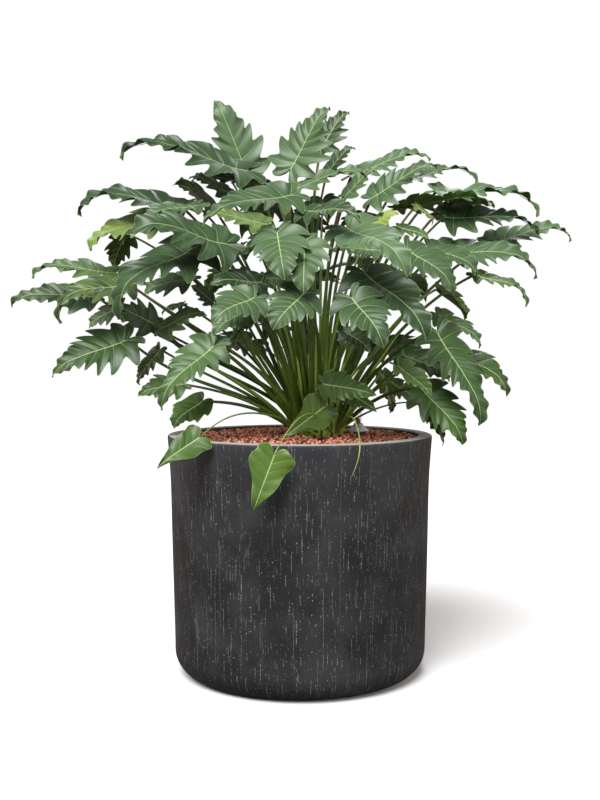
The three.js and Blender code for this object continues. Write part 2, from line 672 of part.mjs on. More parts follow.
const shoots = { ...SHOOTS, ...backShoots() };
const feet = footPlaces(shoots);
const gauge = gaugeGeometries();
addPart("planter", planterGeometry(), COLOURS.planter, 0.8);
addPart("clay_granules", geometryOf(granuleSolid()), COLOURS.granules, 0.9);
addPart("root_crown", geometryOf(crownSolid(Object.values(feet))), COLOURS.crown, 0.9);
addPart("gauge_tube", gauge.tube, COLOURS.clear, 0.1);
addPart("gauge_ring", gauge.ring, COLOURS.grey, 0.5);
addPart("gauge_bell", gauge.bell, COLOURS.clear, 0.2);
addPart("gauge_float", gauge.float, COLOURS.red, 0.4);
addPart("gauge_cap", gauge.cap, COLOURS.clear, 0.3);

let seed = FIRST_SEED;
for (const [name, rows] of Object.entries(shoots)) {
  const leaves = rows.map((row, i) => {
    seed += SEED_STEP;
    return clearLeaf(row, feet[name], seed, i === 0, placed);
  });
  const shoot = leaves.reduce((whole, one) => whole.add(one));
  addPart(`shoot_${name}`, geometryOf(shoot), COLOURS.leaf, 0.45);
}

export default group;
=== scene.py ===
# %% [markdown]
# # A potted xanadu philodendron
#
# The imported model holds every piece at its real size: a cast planter, clay granules, a float
# gauge for the water level, a root crown, and the leafy shoots. Its leaves are flat plates with
# few corners. This lesson dresses it: each coarse piece is replaced by a fine one that keeps its
# form and place, and gets a finish made of shader nodes. Sizes here are written in millimetres,
# as on the real plant, and become metres when a mesh is made.

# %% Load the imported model
import math

import bpy
import numpy as np
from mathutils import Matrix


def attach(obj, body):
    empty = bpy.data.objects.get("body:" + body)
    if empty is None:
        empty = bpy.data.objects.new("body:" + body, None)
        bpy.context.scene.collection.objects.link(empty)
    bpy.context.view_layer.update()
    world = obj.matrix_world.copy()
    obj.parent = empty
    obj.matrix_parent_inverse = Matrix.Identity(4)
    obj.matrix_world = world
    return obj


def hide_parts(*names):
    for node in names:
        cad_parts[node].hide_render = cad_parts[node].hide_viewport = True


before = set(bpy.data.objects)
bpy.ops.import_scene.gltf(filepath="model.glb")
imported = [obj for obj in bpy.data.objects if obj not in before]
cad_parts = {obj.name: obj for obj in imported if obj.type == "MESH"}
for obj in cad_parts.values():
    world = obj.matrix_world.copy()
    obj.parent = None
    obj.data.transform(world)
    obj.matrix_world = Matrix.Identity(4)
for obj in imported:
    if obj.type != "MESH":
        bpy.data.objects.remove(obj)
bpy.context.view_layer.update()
MM = 0.001
print("nodes", len(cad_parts))

# %% [markdown]
# The photograph was taken with a normal lens from a little under two metres, at about the height
# of the leaves' middle, and it looks slightly down. The lens length comes from how wide the
# planter shows, and the tilt from how open its rim shows.

# %% Camera
EYE_DISTANCE = 1800.0
EYE_HEIGHT = 531.1
LOOK_DOWN_DEGREES = 2.843
LENS_MM = 49.67
SENSOR_MM = 36.0

camera_data = bpy.data.cameras.new("camera")
camera_data.sensor_fit = "VERTICAL"
camera_data.sensor_height = SENSOR_MM
camera_data.lens = LENS_MM
camera = bpy.data.objects.new("camera", camera_data)
camera.location = (0, -EYE_DISTANCE * MM, EYE_HEIGHT * MM)
camera.rotation_euler = (math.radians(90 - LOOK_DOWN_DEGREES), 0, 0)
bpy.context.scene.collection.objects.link(camera)
bpy.context.scene.camera = camera
bpy.context.scene.view_settings.view_transform = "Standard"
print("lens", LENS_MM, "mm, eye at", EYE_HEIGHT, "mm")

# %% [markdown]
# Every new piece is a surface worked out with numpy, as a grid of points that two numbers run
# over. These helpers join the grid's cells, close tubes and turned shapes, and put the arrays
# into a mesh. A piece may carry vectors on its points, which its material reads.

# %% Surfaces as arrays


def grid_faces(rows, columns, wrap=False):
    """Two triangles for each cell of a grid whose points run row by row. Where the grid wraps,
    its last column joins its first."""
    index = np.arange(rows * columns).reshape(rows, columns)
    if wrap:
        index = np.concatenate([index, index[:, :1]], axis=1)
    a = index[:-1, :-1].ravel()
    b = index[:-1, 1:].ravel()
    c = index[1:, 1:].ravel()
    d = index[1:, :-1].ravel()
    return np.concatenate([np.stack([a, b, c], 1), np.stack([a, c, d], 1)])


def unit(vectors):
    """Each vector divided by its length."""
    return vectors / np.maximum(np.linalg.norm(vectors, axis=-1, keepdims=True), 1e-9)


def tube(path, radii, sides, reference):
    """A closed tube: at each point of the path a ring in the plane across the path, at
    radius times (across times cosine plus other times sine). Across is the reference made
    square to the path, and a fan of triangles closes each end."""
    ahead = unit(np.gradient(path, axis=0))
    across = unit(reference - ahead * (ahead @ reference)[:, None])
    other = np.cross(ahead, across)
    angle = np.linspace(0, 2 * np.pi, sides, endpoint=False)
    ring = (across[:, None, :] * np.cos(angle)[None, :, None]
            + other[:, None, :] * np.sin(angle)[None, :, None])
    points = path[:, None, :] + ring * np.asarray(radii)[:, None, None]
    rows = len(path)
    fan = np.arange(1, sides - 1)
    start = np.stack([np.zeros_like(fan), fan + 1, fan], 1)
    end = np.stack([np.zeros_like(fan), fan, fan + 1], 1) + (rows - 1) * sides
    faces = np.concatenate([grid_faces(rows, sides, wrap=True), start, end])
    return points.reshape(-1, 3), faces


def turned(profile, sides, centre=(0.0, 0.0)):
    """A profile of (radius, height) points turned round an upright axis. A profile that starts
    and ends on the axis closes there, because cells with no area are left out."""
    profile = np.asarray(profile, float)
    angle = np.linspace(0, 2 * np.pi, sides, endpoint=False)
    x = profile[:, :1] * np.cos(angle) + centre[0]
    y = profile[:, :1] * np.sin(angle) + centre[1]
    z = np.repeat(profile[:, 1:], sides, axis=1)
    return np.stack([x, y, z], -1).reshape(-1, 3), grid_faces(len(profile), sides, wrap=True)


def weld(points, faces, near=1e-4):
    """Points at the same place become one, and triangles that lose a corner by it go."""
    keys = np.round(points / near).astype(np.int64)
    _, first, back = np.unique(keys, axis=0, return_index=True, return_inverse=True)
    faces = back.reshape(-1)[faces]
    sound = (faces[:, 0] != faces[:, 1]) & (faces[:, 1] != faces[:, 2]) & (faces[:, 0] != faces[:, 2])
    return first, faces[sound]


def arc(x, z, radius, start, end, steps):
    """Points on a round about (x, z), from one angle in degrees to another."""
    angle = np.radians(np.linspace(start, end, steps + 1))
    return np.stack([x + radius * np.cos(angle), z + radius * np.sin(angle)], 1)


# %% Meshes


def make_piece(name, parts, materials, replaces=()):
    """One object from parts of (points, faces, material number, {name: vectors}), in
    millimetres. Each part is welded, and its vectors stay on its points."""
    points, faces, numbers, vectors = [], [], [], {}
    count = 0
    for part_points, part_faces, number, part_vectors in parts:
        first, sound = weld(part_points, part_faces)
        points.append(part_points[first])
        faces.append(sound + count)
        numbers.append(np.full(len(sound), number))
        for key, values in part_vectors.items():
            vectors.setdefault(key, []).append((count, values[first]))
        count += len(first)
    mesh = bpy.data.meshes.new(name)
    mesh.from_pydata(np.concatenate(points) * MM, [], np.concatenate(faces))
    mesh.polygons.foreach_set("material_index", np.concatenate(numbers).astype(np.int32))
    mesh.polygons.foreach_set("use_smooth", np.ones(len(mesh.polygons), bool))
    for key, stretches in vectors.items():
        values = np.zeros((count, 3), np.float32)
        for start, part_values in stretches:
            values[start:start + len(part_values)] = part_values
        attribute = mesh.attributes.new(key, "FLOAT_VECTOR", "POINT")
        attribute.data.foreach_set("vector", values.ravel())
    for material in materials:
        mesh.materials.append(material)
    piece = bpy.data.objects.new(name, mesh)
    bpy.context.scene.collection.objects.link(piece)
    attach(piece, "root")
    if replaces:
        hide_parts(*replaces)
    return piece


# %% [markdown]
# A material is a small network of nodes. One helper adds a node, sets its settings, and fills its
# inputs in order, with values or with other nodes. Colours are written as the hex values that a
# paint program shows, so they are made linear first.

# %% Material helpers
MATH = "ShaderNodeMath"
SPLIT = "ShaderNodeSeparateXYZ"
JOIN = "ShaderNodeCombineXYZ"
FADE = "ShaderNodeMapRange"
BLEND = "ShaderNodeMix"
NOISE = "ShaderNodeTexNoise"
CELLS = "ShaderNodeTexVoronoi"
STRETCH = "ShaderNodeMapping"
PLACE = "ShaderNodeTexCoord"
SURFACE = "ShaderNodeNewGeometry"
ATTRIBUTE = "ShaderNodeAttribute"
BUMP = "ShaderNodeBump"
SOFT = {"interpolation_type": "SMOOTHSTEP"}
COLOURS = {"data_type": "RGBA"}


def linear(hex_colour):
    """An sRGB hex colour as linear red, green, blue and alpha."""
    parts = [int(hex_colour[i:i + 2], 16) / 255 for i in (1, 3, 5)]
    return tuple([((c + 0.055) / 1.055) ** 2.4 if c > 0.04045 else c / 12.92 for c in parts] + [1.0])


def feed(tree, socket, value):
    """A socket gets a constant, or a link from an output or from a node's first output."""
    if isinstance(value, bpy.types.Node):
        value = next(output for output in value.outputs if output.enabled)
    if isinstance(value, bpy.types.NodeSocket):
        tree.links.new(value, socket)
    elif value is not None:
        socket.default_value = value


def add(tree, kind, *values, **settings):
    """A node of a kind with its settings. The values feed its inputs in order, and None leaves
    an input as it is."""
    node = tree.nodes.new(kind)
    for key, value in settings.items():
        setattr(node, key, value)
    for socket, value in zip([socket for socket in node.inputs if socket.enabled], values):
        feed(tree, socket, value)
    return node


def finish(name, **values):
    """A new material with its shader, and the shader's constants set on its own sockets."""
    material = bpy.data.materials.new(name)
    material.use_nodes = True
    shader = material.node_tree.nodes["Principled BSDF"]
    for key, value in values.items():
        shader.inputs[key.replace("_", " ")].default_value = value
    return material, material.node_tree, shader


def scale_of(size):
    """A pattern's scale for features of a size in millimetres: how many of them fit a metre."""
    return 1 / (size * MM)


# %% [markdown]
# ## The planter
#
# The planter is cast in a mould from dark-pigmented cement with short fibres in it, and rubbed
# down. Air that rises along the mould's wall leaves upright scratches and small pits that show
# pale against the dark skin. The shape is one profile turned round its axis: a round foot edge,
# a wall that widens a little to the rim, a soft rim and the wall's inside.

# %% Planter shape
RIM_RADIUS = 215.0
PLANTER_HEIGHT = 387.0
WAIST_RADIUS = 210.0
WAIST_HEIGHT = 317.0
FOOT_RADIUS = 204.5
FOOT_ROUNDING = 39.0
INNER_ROUNDING = 20.0
RIM_ROUNDING = 4.0
WALL = 23.0
FLOOR = 26.0
PLANTER_SIDES = 224
FOOT_STEPS, WALL_STEPS, RIM_STEPS, INNER_STEPS = 12, 42, 5, 6
WAIST_SMOOTHING = 12
UNEVEN = 0.35


def planter_profile():
    """The outside from the foot's middle up to the rim, and the inside back down to the floor."""
    inner = RIM_RADIUS - WALL
    inner_foot = FOOT_RADIUS - WALL
    rim_middle = PLANTER_HEIGHT - RIM_ROUNDING
    wall_z = np.linspace(FOOT_ROUNDING, rim_middle, WALL_STEPS + 2)[1:-1]
    wall_r = np.interp(wall_z, [FOOT_ROUNDING, WAIST_HEIGHT, rim_middle],
                       [FOOT_RADIUS, WAIST_RADIUS, RIM_RADIUS])
    return np.concatenate([
        [[0, 0]],
        arc(FOOT_RADIUS - FOOT_ROUNDING, FOOT_ROUNDING, FOOT_ROUNDING, -90, 0, FOOT_STEPS),
        np.stack([wall_r, wall_z], 1),
        arc(RIM_RADIUS - RIM_ROUNDING, rim_middle, RIM_ROUNDING, 0, 90, RIM_STEPS),
        arc(inner + RIM_ROUNDING, rim_middle, RIM_ROUNDING, 90, 180, RIM_STEPS),
        arc(inner_foot - INNER_ROUNDING, FLOOR + INNER_ROUNDING, INNER_ROUNDING, 0, -90, INNER_STEPS),
        [[0, FLOOR]],
    ])


def soften_waist(profile):
    """The outer wall's corner at the waist as a slow curve: heights stay, and each radius
    becomes the mean of its two neighbours and twice itself, a few times over."""
    softened = profile.copy()
    wall = np.arange(FOOT_STEPS + 2, FOOT_STEPS + 2 + WALL_STEPS)
    for _ in range(WAIST_SMOOTHING):
        radius = softened[:, 0]
        softened[wall, 0] = (radius[wall - 1] + 2 * radius[wall] + radius[wall + 1]) / 4
    return softened


def uneven(points):
    """The hand-rubbed outside: three waves round it, and seven weaker ones, move it in and out
    by a third of a millimetre and lean as they rise. They start above the foot, and the inside
    stays round."""
    x, y, z = points.T
    turn = np.arctan2(y, x)
    waves = np.sin(3 * turn + 0.015 * z) + 0.6 * np.sin(7 * turn - 0.021 * z + 1.3)
    above_foot = np.clip((z - 5) / 60, 0, 1)
    outside = np.hypot(x, y) > RIM_RADIUS - WALL + RIM_ROUNDING
    out = UNEVEN * waves * above_foot * outside
    return points + np.stack([out * np.cos(turn), out * np.sin(turn), 0 * z], 1)


planter_points, planter_faces = turned(soften_waist(planter_profile()), PLANTER_SIDES)
planter_points = uneven(planter_points)
print("planter triangles", len(planter_faces))

# %% [markdown]
# Rubbed cement is matt and nearly black, with slow clouds in its pigment and pale dust in its
# pores. The scratches are drawn in millimetres on the unrolled wall: the way round times the
# radius, and the height. A cell pattern puts one scratch at the middle of some cells, with a
# length and strength of its own, and a fine noise breaks it into the grains that it is made of.
# The real scratches are about half a millimetre wide, and the grains are finer still. They are
# drawn about twice as wide, and the grains at nearly 2 mm, to show at this size. Hands and
# watering wear the rim's top pale, and it is painted paler still as painted light from above.

# %% Scratches in the cement
SCRATCH_LAYERS = [
    # cell width, cell height, share of cells, half width, least and most half length, strength
    (17.0, 210.0, 0.7, 0.55, 24.0, 90.0, 0.4),
    (8.0, 60.0, 0.5, 0.6, 6.0, 26.0, 0.6),
    (4.5, 24.0, 0.34, 0.55, 2.0, 9.0, 0.55),
    (6.0, 7.0, 0.16, 0.8, 0.6, 1.2, 0.9),
]


def scratches(tree, round_wall, height, layer):
    """How strongly a scratch of one layer shows, from 0 to 1: a soft line about the middle of
    its cell, where the cell was chosen, times a strength of its own."""
    cell_width, cell_height, share, half_width, least, most, strength = layer
    cell_x = add(tree, MATH, round_wall, cell_width, operation="DIVIDE")
    cell_y = add(tree, MATH, height, cell_height, operation="DIVIDE")
    cell = add(tree, JOIN, cell_x, cell_y)
    pattern = add(tree, CELLS, cell, 1.0, voronoi_dimensions="2D")
    middle = add(tree, SPLIT, pattern.outputs["Position"]).outputs
    draws = add(tree, SPLIT, pattern.outputs["Color"]).outputs
    aside = add(tree, MATH, cell_x, middle["X"], operation="SUBTRACT")
    aside = add(tree, MATH, aside, cell_width, operation="MULTIPLY")
    aside = add(tree, MATH, aside, operation="ABSOLUTE")
    along = add(tree, MATH, cell_y, middle["Y"], operation="SUBTRACT")
    along = add(tree, MATH, along, cell_height, operation="MULTIPLY")
    along = add(tree, MATH, along, operation="ABSOLUTE")
    length = add(tree, MATH, draws["Y"], most - least, least, operation="MULTIPLY_ADD")
    reach = add(tree, MATH, along, length, operation="DIVIDE")
    across_line = add(tree, FADE, aside, half_width, half_width * 0.3, **SOFT)
    along_line = add(tree, FADE, reach, 1.0, 0.6, **SOFT)
    line = add(tree, MATH, across_line, along_line, operation="MULTIPLY")
    chosen = add(tree, MATH, draws["X"], share, operation="LESS_THAN")
    line = add(tree, MATH, line, chosen, operation="MULTIPLY")
    own = add(tree, MATH, draws["Z"], 0.7 * strength, 0.3 * strength, operation="MULTIPLY_ADD")
    return add(tree, MATH, line, own, operation="MULTIPLY")


# %% Cement finish
GRAIN_SIZE, DUST_SIZE, CLOUD_SIZE = 1.786, 3.03, 71.4
TOP_LIGHT_FROM, TOP_LIGHT_SHARE = 250.0, 0.25
WORN_AND_LIT_SHARE = 0.92

cement, tree, shader = finish("cast fibre cement, dark pigment, rubbed", Roughness=0.75, IOR=1.45)
place = add(tree, PLACE).outputs["Object"]
parts = add(tree, SPLIT, place).outputs
to_front = add(tree, MATH, parts["Y"], -1.0, operation="MULTIPLY")
way = add(tree, MATH, parts["X"], to_front, operation="ARCTAN2")
round_wall = add(tree, MATH, way, RIM_RADIUS, operation="MULTIPLY")
height = add(tree, MATH, parts["Z"], 1 / MM, operation="MULTIPLY")
marks = 0.0
for layer in SCRATCH_LAYERS:
    marks = add(tree, MATH, scratches(tree, round_wall, height, layer), marks, operation="MAXIMUM")
grains = add(tree, NOISE, place, scale_of(GRAIN_SIZE), 2.0)
broken = add(tree, FADE, grains, 0.38, 0.6, **SOFT)
broken = add(tree, MATH, marks, broken, operation="MULTIPLY")
clouds = add(tree, NOISE, place, scale_of(CLOUD_SIZE), 8.0)
cloudy = add(tree, FADE, clouds, 0.36, 0.66, **SOFT)
skin = add(tree, BLEND, cloudy, linear("#0C0C0D"), linear("#262729"), **COLOURS)
dust = add(tree, NOISE, place, scale_of(DUST_SIZE), 3.0)
dusty = add(tree, FADE, dust, 0.60, 0.78, **SOFT)
skin = add(tree, BLEND, dusty, skin, linear("#4C4B4C"), **COLOURS)
# Painted light: from 250 mm up to the rim the wall is painted a paler grey, as light from above falls
# there.
painted_top_light = add(tree, FADE, height, TOP_LIGHT_FROM, PLANTER_HEIGHT - 2, **SOFT)
painted_top_light = add(tree, MATH, painted_top_light, TOP_LIGHT_SHARE, operation="MULTIPLY")
skin = add(tree, BLEND, painted_top_light, skin, linear("#46474B"), **COLOURS)
# The rim's top, where it faces up, is painted pale: partly real wear, partly painted light from above.
facing_up = add(tree, SPLIT, add(tree, SURFACE).outputs["Normal"]).outputs["Z"]
upward = add(tree, FADE, facing_up, 0.6, 0.97, **SOFT)
high = add(tree, FADE, height, PLANTER_HEIGHT - 7, PLANTER_HEIGHT - 3, **SOFT)
worn_and_lit = add(tree, MATH, upward, high, operation="MULTIPLY")
worn_and_lit = add(tree, MATH, worn_and_lit, WORN_AND_LIT_SHARE, operation="MULTIPLY")
skin = add(tree, BLEND, worn_and_lit, skin, linear("#A5A19D"), **COLOURS)
feed(tree, shader.inputs["Base Color"], add(tree, BLEND, broken, skin, linear("#B4AEA8"), **COLOURS))
pits = add(tree, MATH, dust, 0.5, operation="MULTIPLY")
pits = add(tree, MATH, pits, marks, operation="SUBTRACT")
feed(tree, shader.inputs["Normal"], add(tree, BUMP, 0.35, 0.0006, None, pits))

make_piece("cast_planter", [(planter_points, planter_faces, 0, {})], [cement], ["planter"])
print("cement nodes", len(tree.nodes))

# %% [markdown]
# ## The clay granules
#
# Expanded clay is rolled and fired in a turning kiln, so each granule is a rough little ball
# with a dull red-brown skin. They lie loose, a touch higher in the middle. One rough ball of a
# few dozen faces is copied a few thousand times: its copies stand on a jittered honeycomb, each
# with its own size, turn and colour. A near-black bed under them is painted shade in the gaps.

# %% The granules' bed
GRANULES_AT_WALL = 380.0
GRANULES_MIDDLE = 384.5
GRANULES_LEVEL_SHARE = 0.6
GAP = 0.3


def bed_radius(height):
    """The bed's radius at a height, just inside the planter's wall."""
    widening = (RIM_RADIUS - FOOT_RADIUS) / (PLANTER_HEIGHT - RIM_ROUNDING - FLOOR - INNER_ROUNDING)
    return FOOT_RADIUS - WALL - GAP + (height - FLOOR - INNER_ROUNDING) * widening


def bed_height(x, y):
    """The bed's top: level in the middle, and falling to the wall."""
    share = np.hypot(x, y) / bed_radius(GRANULES_AT_WALL)
    fall = np.clip((share - GRANULES_LEVEL_SHARE) / (1 - GRANULES_LEVEL_SHARE), 0, 1)
    return GRANULES_MIDDLE + (GRANULES_AT_WALL - GRANULES_MIDDLE) * fall


print("bed radius", round(bed_radius(GRANULES_AT_WALL), 1))

# %% One granule and its places
draw = np.random.default_rng(11)


def rough_ball(rings, sides):
    """A ball by height and turn. Its radius is 1, plus a tenth of a sine of twice the turn and
    a little less of one of three times the turn, and both fade at the poles as the cosine."""
    up = np.linspace(-np.pi / 2, np.pi / 2, rings)[:, None]
    turn = np.linspace(0, 2 * np.pi, sides, endpoint=False)[None, :]
    radius = 1 + 0.10 * np.sin(2 * turn + 1) * np.cos(up) + 0.08 * np.sin(3 * turn - 2 * up) * np.cos(up)
    points = np.stack([radius * np.cos(up) * np.cos(turn), radius * np.cos(up) * np.sin(turn),
                       radius * np.sin(up) * np.ones_like(turn)], -1)
    return points.reshape(-1, 3), grid_faces(rings, sides, wrap=True)


def random_turns(count):
    """Rotation matrices from random unit quaternions."""
    w, x, y, z = unit(draw.normal(size=(count, 4))).T
    return np.stack([
        1 - 2 * (y * y + z * z), 2 * (x * y - z * w), 2 * (x * z + y * w),
        2 * (x * y + z * w), 1 - 2 * (x * x + z * z), 2 * (y * z - x * w),
        2 * (x * z - y * w), 2 * (y * z + x * w), 1 - 2 * (x * x + y * y)], 1).reshape(-1, 3, 3)


def honeycomb(radius, spacing):
    """Places on a honeycomb inside a round, each moved a little."""
    steps = int(radius / spacing) + 2
    i, j = np.meshgrid(np.arange(-steps, steps + 1), np.arange(-steps * 1.2, steps * 1.2 + 1))
    x = (i + 0.5 * (j % 2)) * spacing
    y = j * spacing * math.sqrt(3) / 2
    places = np.stack([x.ravel(), y.ravel()], 1) + draw.normal(0, 0.2 * spacing, (x.size, 2))
    return places[np.hypot(*places.T) < radius]


# %% Granules
GRANULE_SPACING = 6.0
GRANULE_RADIUS = (2.4, 3.2)
GRANULE_LIFTS = (-2.6, 1.4)
LOOSE_SHARE, LOOSE_LIFT = 0.3, 4.4
CROWN_X, CROWN_Y = 26.0, 12.0
CROWN_HALF_WIDTH, CROWN_HALF_DEPTH = 42.0, 66.0
CROWN_OVERLAP = 8.0
CROWN_TOP = 385.0
GAUGE_X, GAUGE_Y = 97.3, 38.0
BELL_RADIUS = 17.5

places = honeycomb(bed_radius(GRANULES_AT_WALL) - GRANULE_RADIUS[0], GRANULE_SPACING)
in_crown = np.hypot((places[:, 0] - CROWN_X) / (CROWN_HALF_WIDTH - CROWN_OVERLAP),
                    (places[:, 1] - CROWN_Y) / (CROWN_HALF_DEPTH - CROWN_OVERLAP)) < 1
in_bell = np.hypot(places[:, 0] - GAUGE_X, places[:, 1] - GAUGE_Y) < BELL_RADIUS + 1
places = places[~in_crown & ~in_bell]
sizes = draw.uniform(*GRANULE_RADIUS, len(places))
lifts = draw.uniform(*GRANULE_LIFTS, len(places))
lifts = lifts + LOOSE_LIFT * (draw.uniform(size=len(places)) < LOOSE_SHARE)
centres = np.column_stack([places, bed_height(*places.T) - sizes + lifts])
ball, ball_faces = rough_ball(5, 6)
first, ball_faces = weld(ball, ball_faces)
ball = ball[first]
granules = np.einsum("nij,vj->nvi", random_turns(len(places)), ball) * sizes[:, None, None]
granules = (granules + centres[:, None, :]).reshape(-1, 3)
granule_faces = (ball_faces[None] + np.arange(len(places))[:, None, None] * len(ball)).reshape(-1, 3)
own = np.repeat(draw.uniform(size=(len(places), 3)), len(ball), axis=0)
print("granules", len(places), "triangles", len(granule_faces))

# %% [markdown]
# The fired skin is matt and full of pores. Each granule has its own shade between a brick red and
# a pale terracotta, and about one in seven is burnt brown. The real pores are finer than a
# millimetre, and are drawn at a millimetre and a half to show. The bed under them is painted
# shade: its dull, near-black brown stands for the shadow in the gaps between them.

# %% Bed under the granules
BED_BELOW = 6.0
BED_SIDES = 96
wall_foot = FLOOR + INNER_ROUNDING
bed_profile = np.concatenate([
    [[0, FLOOR + GAP]],
    arc(bed_radius(wall_foot) - INNER_ROUNDING, wall_foot + GAP, INNER_ROUNDING, -90, 0, 4),
    [[bed_radius(GRANULES_AT_WALL) - GAP, GRANULES_AT_WALL - BED_BELOW]],
    [[bed_radius(GRANULES_AT_WALL) * GRANULES_LEVEL_SHARE, GRANULES_MIDDLE - BED_BELOW]],
    [[0, GRANULES_MIDDLE - BED_BELOW]],
])
bed_points, bed_faces = turned(bed_profile, BED_SIDES)
print("bed triangles", len(bed_faces))

# %% Granule finish
PORE_SIZE, SPECK_SIZE = 1.43, 2.5

clay, tree, shader = finish("expanded clay, kiln fired", Roughness=0.75, IOR=1.45)
draws = add(tree, SPLIT, add(tree, ATTRIBUTE, attribute_name="own").outputs["Vector"]).outputs
place = add(tree, PLACE).outputs["Object"]
pores = add(tree, NOISE, place, scale_of(PORE_SIZE), 3.0)
porous = add(tree, FADE, pores, 0.56, 0.72, **SOFT)
burnt = add(tree, FADE, draws["Y"], 0.80, 0.90, **SOFT)
colour = add(tree, BLEND, draws["X"], linear("#A95B40"), linear("#E4A184"), **COLOURS)
colour = add(tree, BLEND, burnt, colour, linear("#5E3426"), **COLOURS)
feed(tree, shader.inputs["Base Color"], add(tree, BLEND, porous, colour, linear("#6A3B2C"), **COLOURS))
feed(tree, shader.inputs["Normal"], add(tree, BUMP, 0.6, 0.0008, None, pores))

# Painted shade: the bed's near-black brown, with faint specks, stands for the shadow between the granules.
painted_shade_bed, tree, shader = finish("painted shade between the granules", Roughness=1.0)
specks = add(tree, NOISE, add(tree, PLACE).outputs["Object"], scale_of(SPECK_SIZE), 2.0)
colour = add(tree, BLEND, specks, linear("#150A07"), linear("#351C14"), **COLOURS)
feed(tree, shader.inputs["Base Color"], colour)

make_piece("clay_granule_bed", [(granules, granule_faces, 0, {"own": own}),
                                (bed_points, bed_faces, 1, {})],
           [clay, painted_shade_bed], ["clay_granules"])
print("granule finish nodes", len(clay.node_tree.nodes))

# %% [markdown]
# ## The float gauge
#
# The gauge is moulded from clear plastic: a tube down to the planter's floor, and a cap. A flared
# bell of frosted plastic keeps the granules off, on a grey ring. A red and yellow float rides on
# the water inside and shows the level. All are turned shapes round one axis, so each is a profile
# with rounded corners.

# %% Gauge shapes
TUBE_RADIUS, TUBE_WALL, TUBE_BOTTOM, TUBE_TOP = 6.5, 1.2, 60.0, 450.0
BELL_BOTTOM, BELL_TOP, BELL_WALL, BELL_LIP, BELL_FLARE = 388.0, 401.0, 1.3, 1.5, 1.7
RING_RADIUS, RING_BOTTOM, RING_TOP = 18.5, 385.3, 387.7
FLOAT_RADIUS, FLOAT_BOTTOM, FLOAT_TOP = 4.0, 80.0, 409.0
CAP_RADIUS, CAP_TOP = 8.0, 459.0
GAUGE_SIDES = 64
gauge_centre = (GAUGE_X, GAUGE_Y)


def loop_back(profile):
    """A profile that closes on itself."""
    return np.concatenate([profile, profile[:1]])


def bell_profile():
    """The bell's skin from its neck out to its foot: its radius grows as a power of the way
    down, with a lip at the foot, and the same curve inside one wall thinner."""
    down = np.linspace(0, 1, 14)
    neck = TUBE_RADIUS + GAP + BELL_WALL
    height = BELL_TOP - (BELL_TOP - BELL_BOTTOM - BELL_LIP) * down
    outer = np.stack([neck + (BELL_RADIUS - neck) * down ** BELL_FLARE, height], 1)
    foot = [[BELL_RADIUS, BELL_BOTTOM], [BELL_RADIUS - BELL_WALL, BELL_BOTTOM]]
    inner = outer[::-1] - [BELL_WALL, 0.6]
    return loop_back(np.concatenate([outer, foot, inner]))


bore = TUBE_RADIUS - TUBE_WALL
round_tube = TUBE_RADIUS + GAP
tube_profile = loop_back(np.array([[bore, TUBE_BOTTOM], [TUBE_RADIUS, TUBE_BOTTOM],
                                   [TUBE_RADIUS, TUBE_TOP], [bore, TUBE_TOP]]))
ring_profile = loop_back(np.concatenate([
    [[round_tube, RING_BOTTOM]],
    arc(RING_RADIUS - 1, RING_BOTTOM + 1, 1, -90, 0, 3),
    arc(RING_RADIUS - 1, RING_TOP - 1, 1, 0, 90, 3),
    [[round_tube, RING_TOP]]]))
float_profile = np.concatenate([
    [[0, FLOAT_BOTTOM]],
    arc(FLOAT_RADIUS - 1, FLOAT_BOTTOM + 1, 1, -90, 0, 3),
    [[FLOAT_RADIUS, FLOAT_TOP - 5], [FLOAT_RADIUS - 0.5, FLOAT_TOP - 4.7],
     [FLOAT_RADIUS - 0.5, FLOAT_TOP - 4.3], [FLOAT_RADIUS, FLOAT_TOP - 4]],
    arc(FLOAT_RADIUS - 1, FLOAT_TOP - 1, 1, 0, 90, 3),
    [[0, FLOAT_TOP]]])
cap_profile = np.concatenate([
    [[0, TUBE_TOP + GAP]],
    [[CAP_RADIUS, TUBE_TOP + GAP], [CAP_RADIUS, TUBE_TOP + 2.5]],
    arc(CAP_RADIUS - 2.2, CAP_TOP - 2.2, 2.2, 0, 90, 5),
    [[0, CAP_TOP]]])
print("gauge from", TUBE_BOTTOM, "to", CAP_TOP)

# %% [markdown]
# Polystyrene bends light with an IOR of 1.59, but a thin wall barely shows that, so most light
# goes straight through by Alpha, and a low IOR leaves the faint shine of the real tube. The
# frosted bell scatters nearly all of it. The ring is ABS with grey pigment, moulded smooth, and
# its pigment clouds a little over some 6 mm. The float's head is yellow above a red body.

# %% Gauge finishes
CLOUDING_SIZE = 6.25
HEAD_HEIGHT = 2.2

clear, tree, shader = finish("clear polystyrene, moulded", Roughness=0.05, IOR=1.2,
                             Base_Color=linear("#FCFCFD"), Alpha=0.12)
frosted, tree, shader = finish("frosted polystyrene, moulded", Roughness=0.3, IOR=1.45,
                               Base_Color=linear("#FAFAFF"), Alpha=0.9)
smoky, tree, shader = finish("grey ABS, moulded", Roughness=0.35, IOR=1.5)
cloud = add(tree, NOISE, add(tree, PLACE).outputs["Object"], scale_of(CLOUDING_SIZE))
colour = add(tree, BLEND, cloud, linear("#4A4C50"), linear("#66686E"), **COLOURS)
feed(tree, shader.inputs["Base Color"], colour)
float_paint, tree, shader = finish("red and yellow polypropylene float", Roughness=0.4, IOR=1.49)
float_z = add(tree, SPLIT, add(tree, PLACE).outputs["Object"]).outputs["Z"]
is_head = add(tree, MATH, float_z, (FLOAT_TOP - HEAD_HEIGHT) * MM, operation="GREATER_THAN")
colour = add(tree, BLEND, is_head, linear("#B02A26"), linear("#D9A23A"), **COLOURS)
feed(tree, shader.inputs["Base Color"], colour)

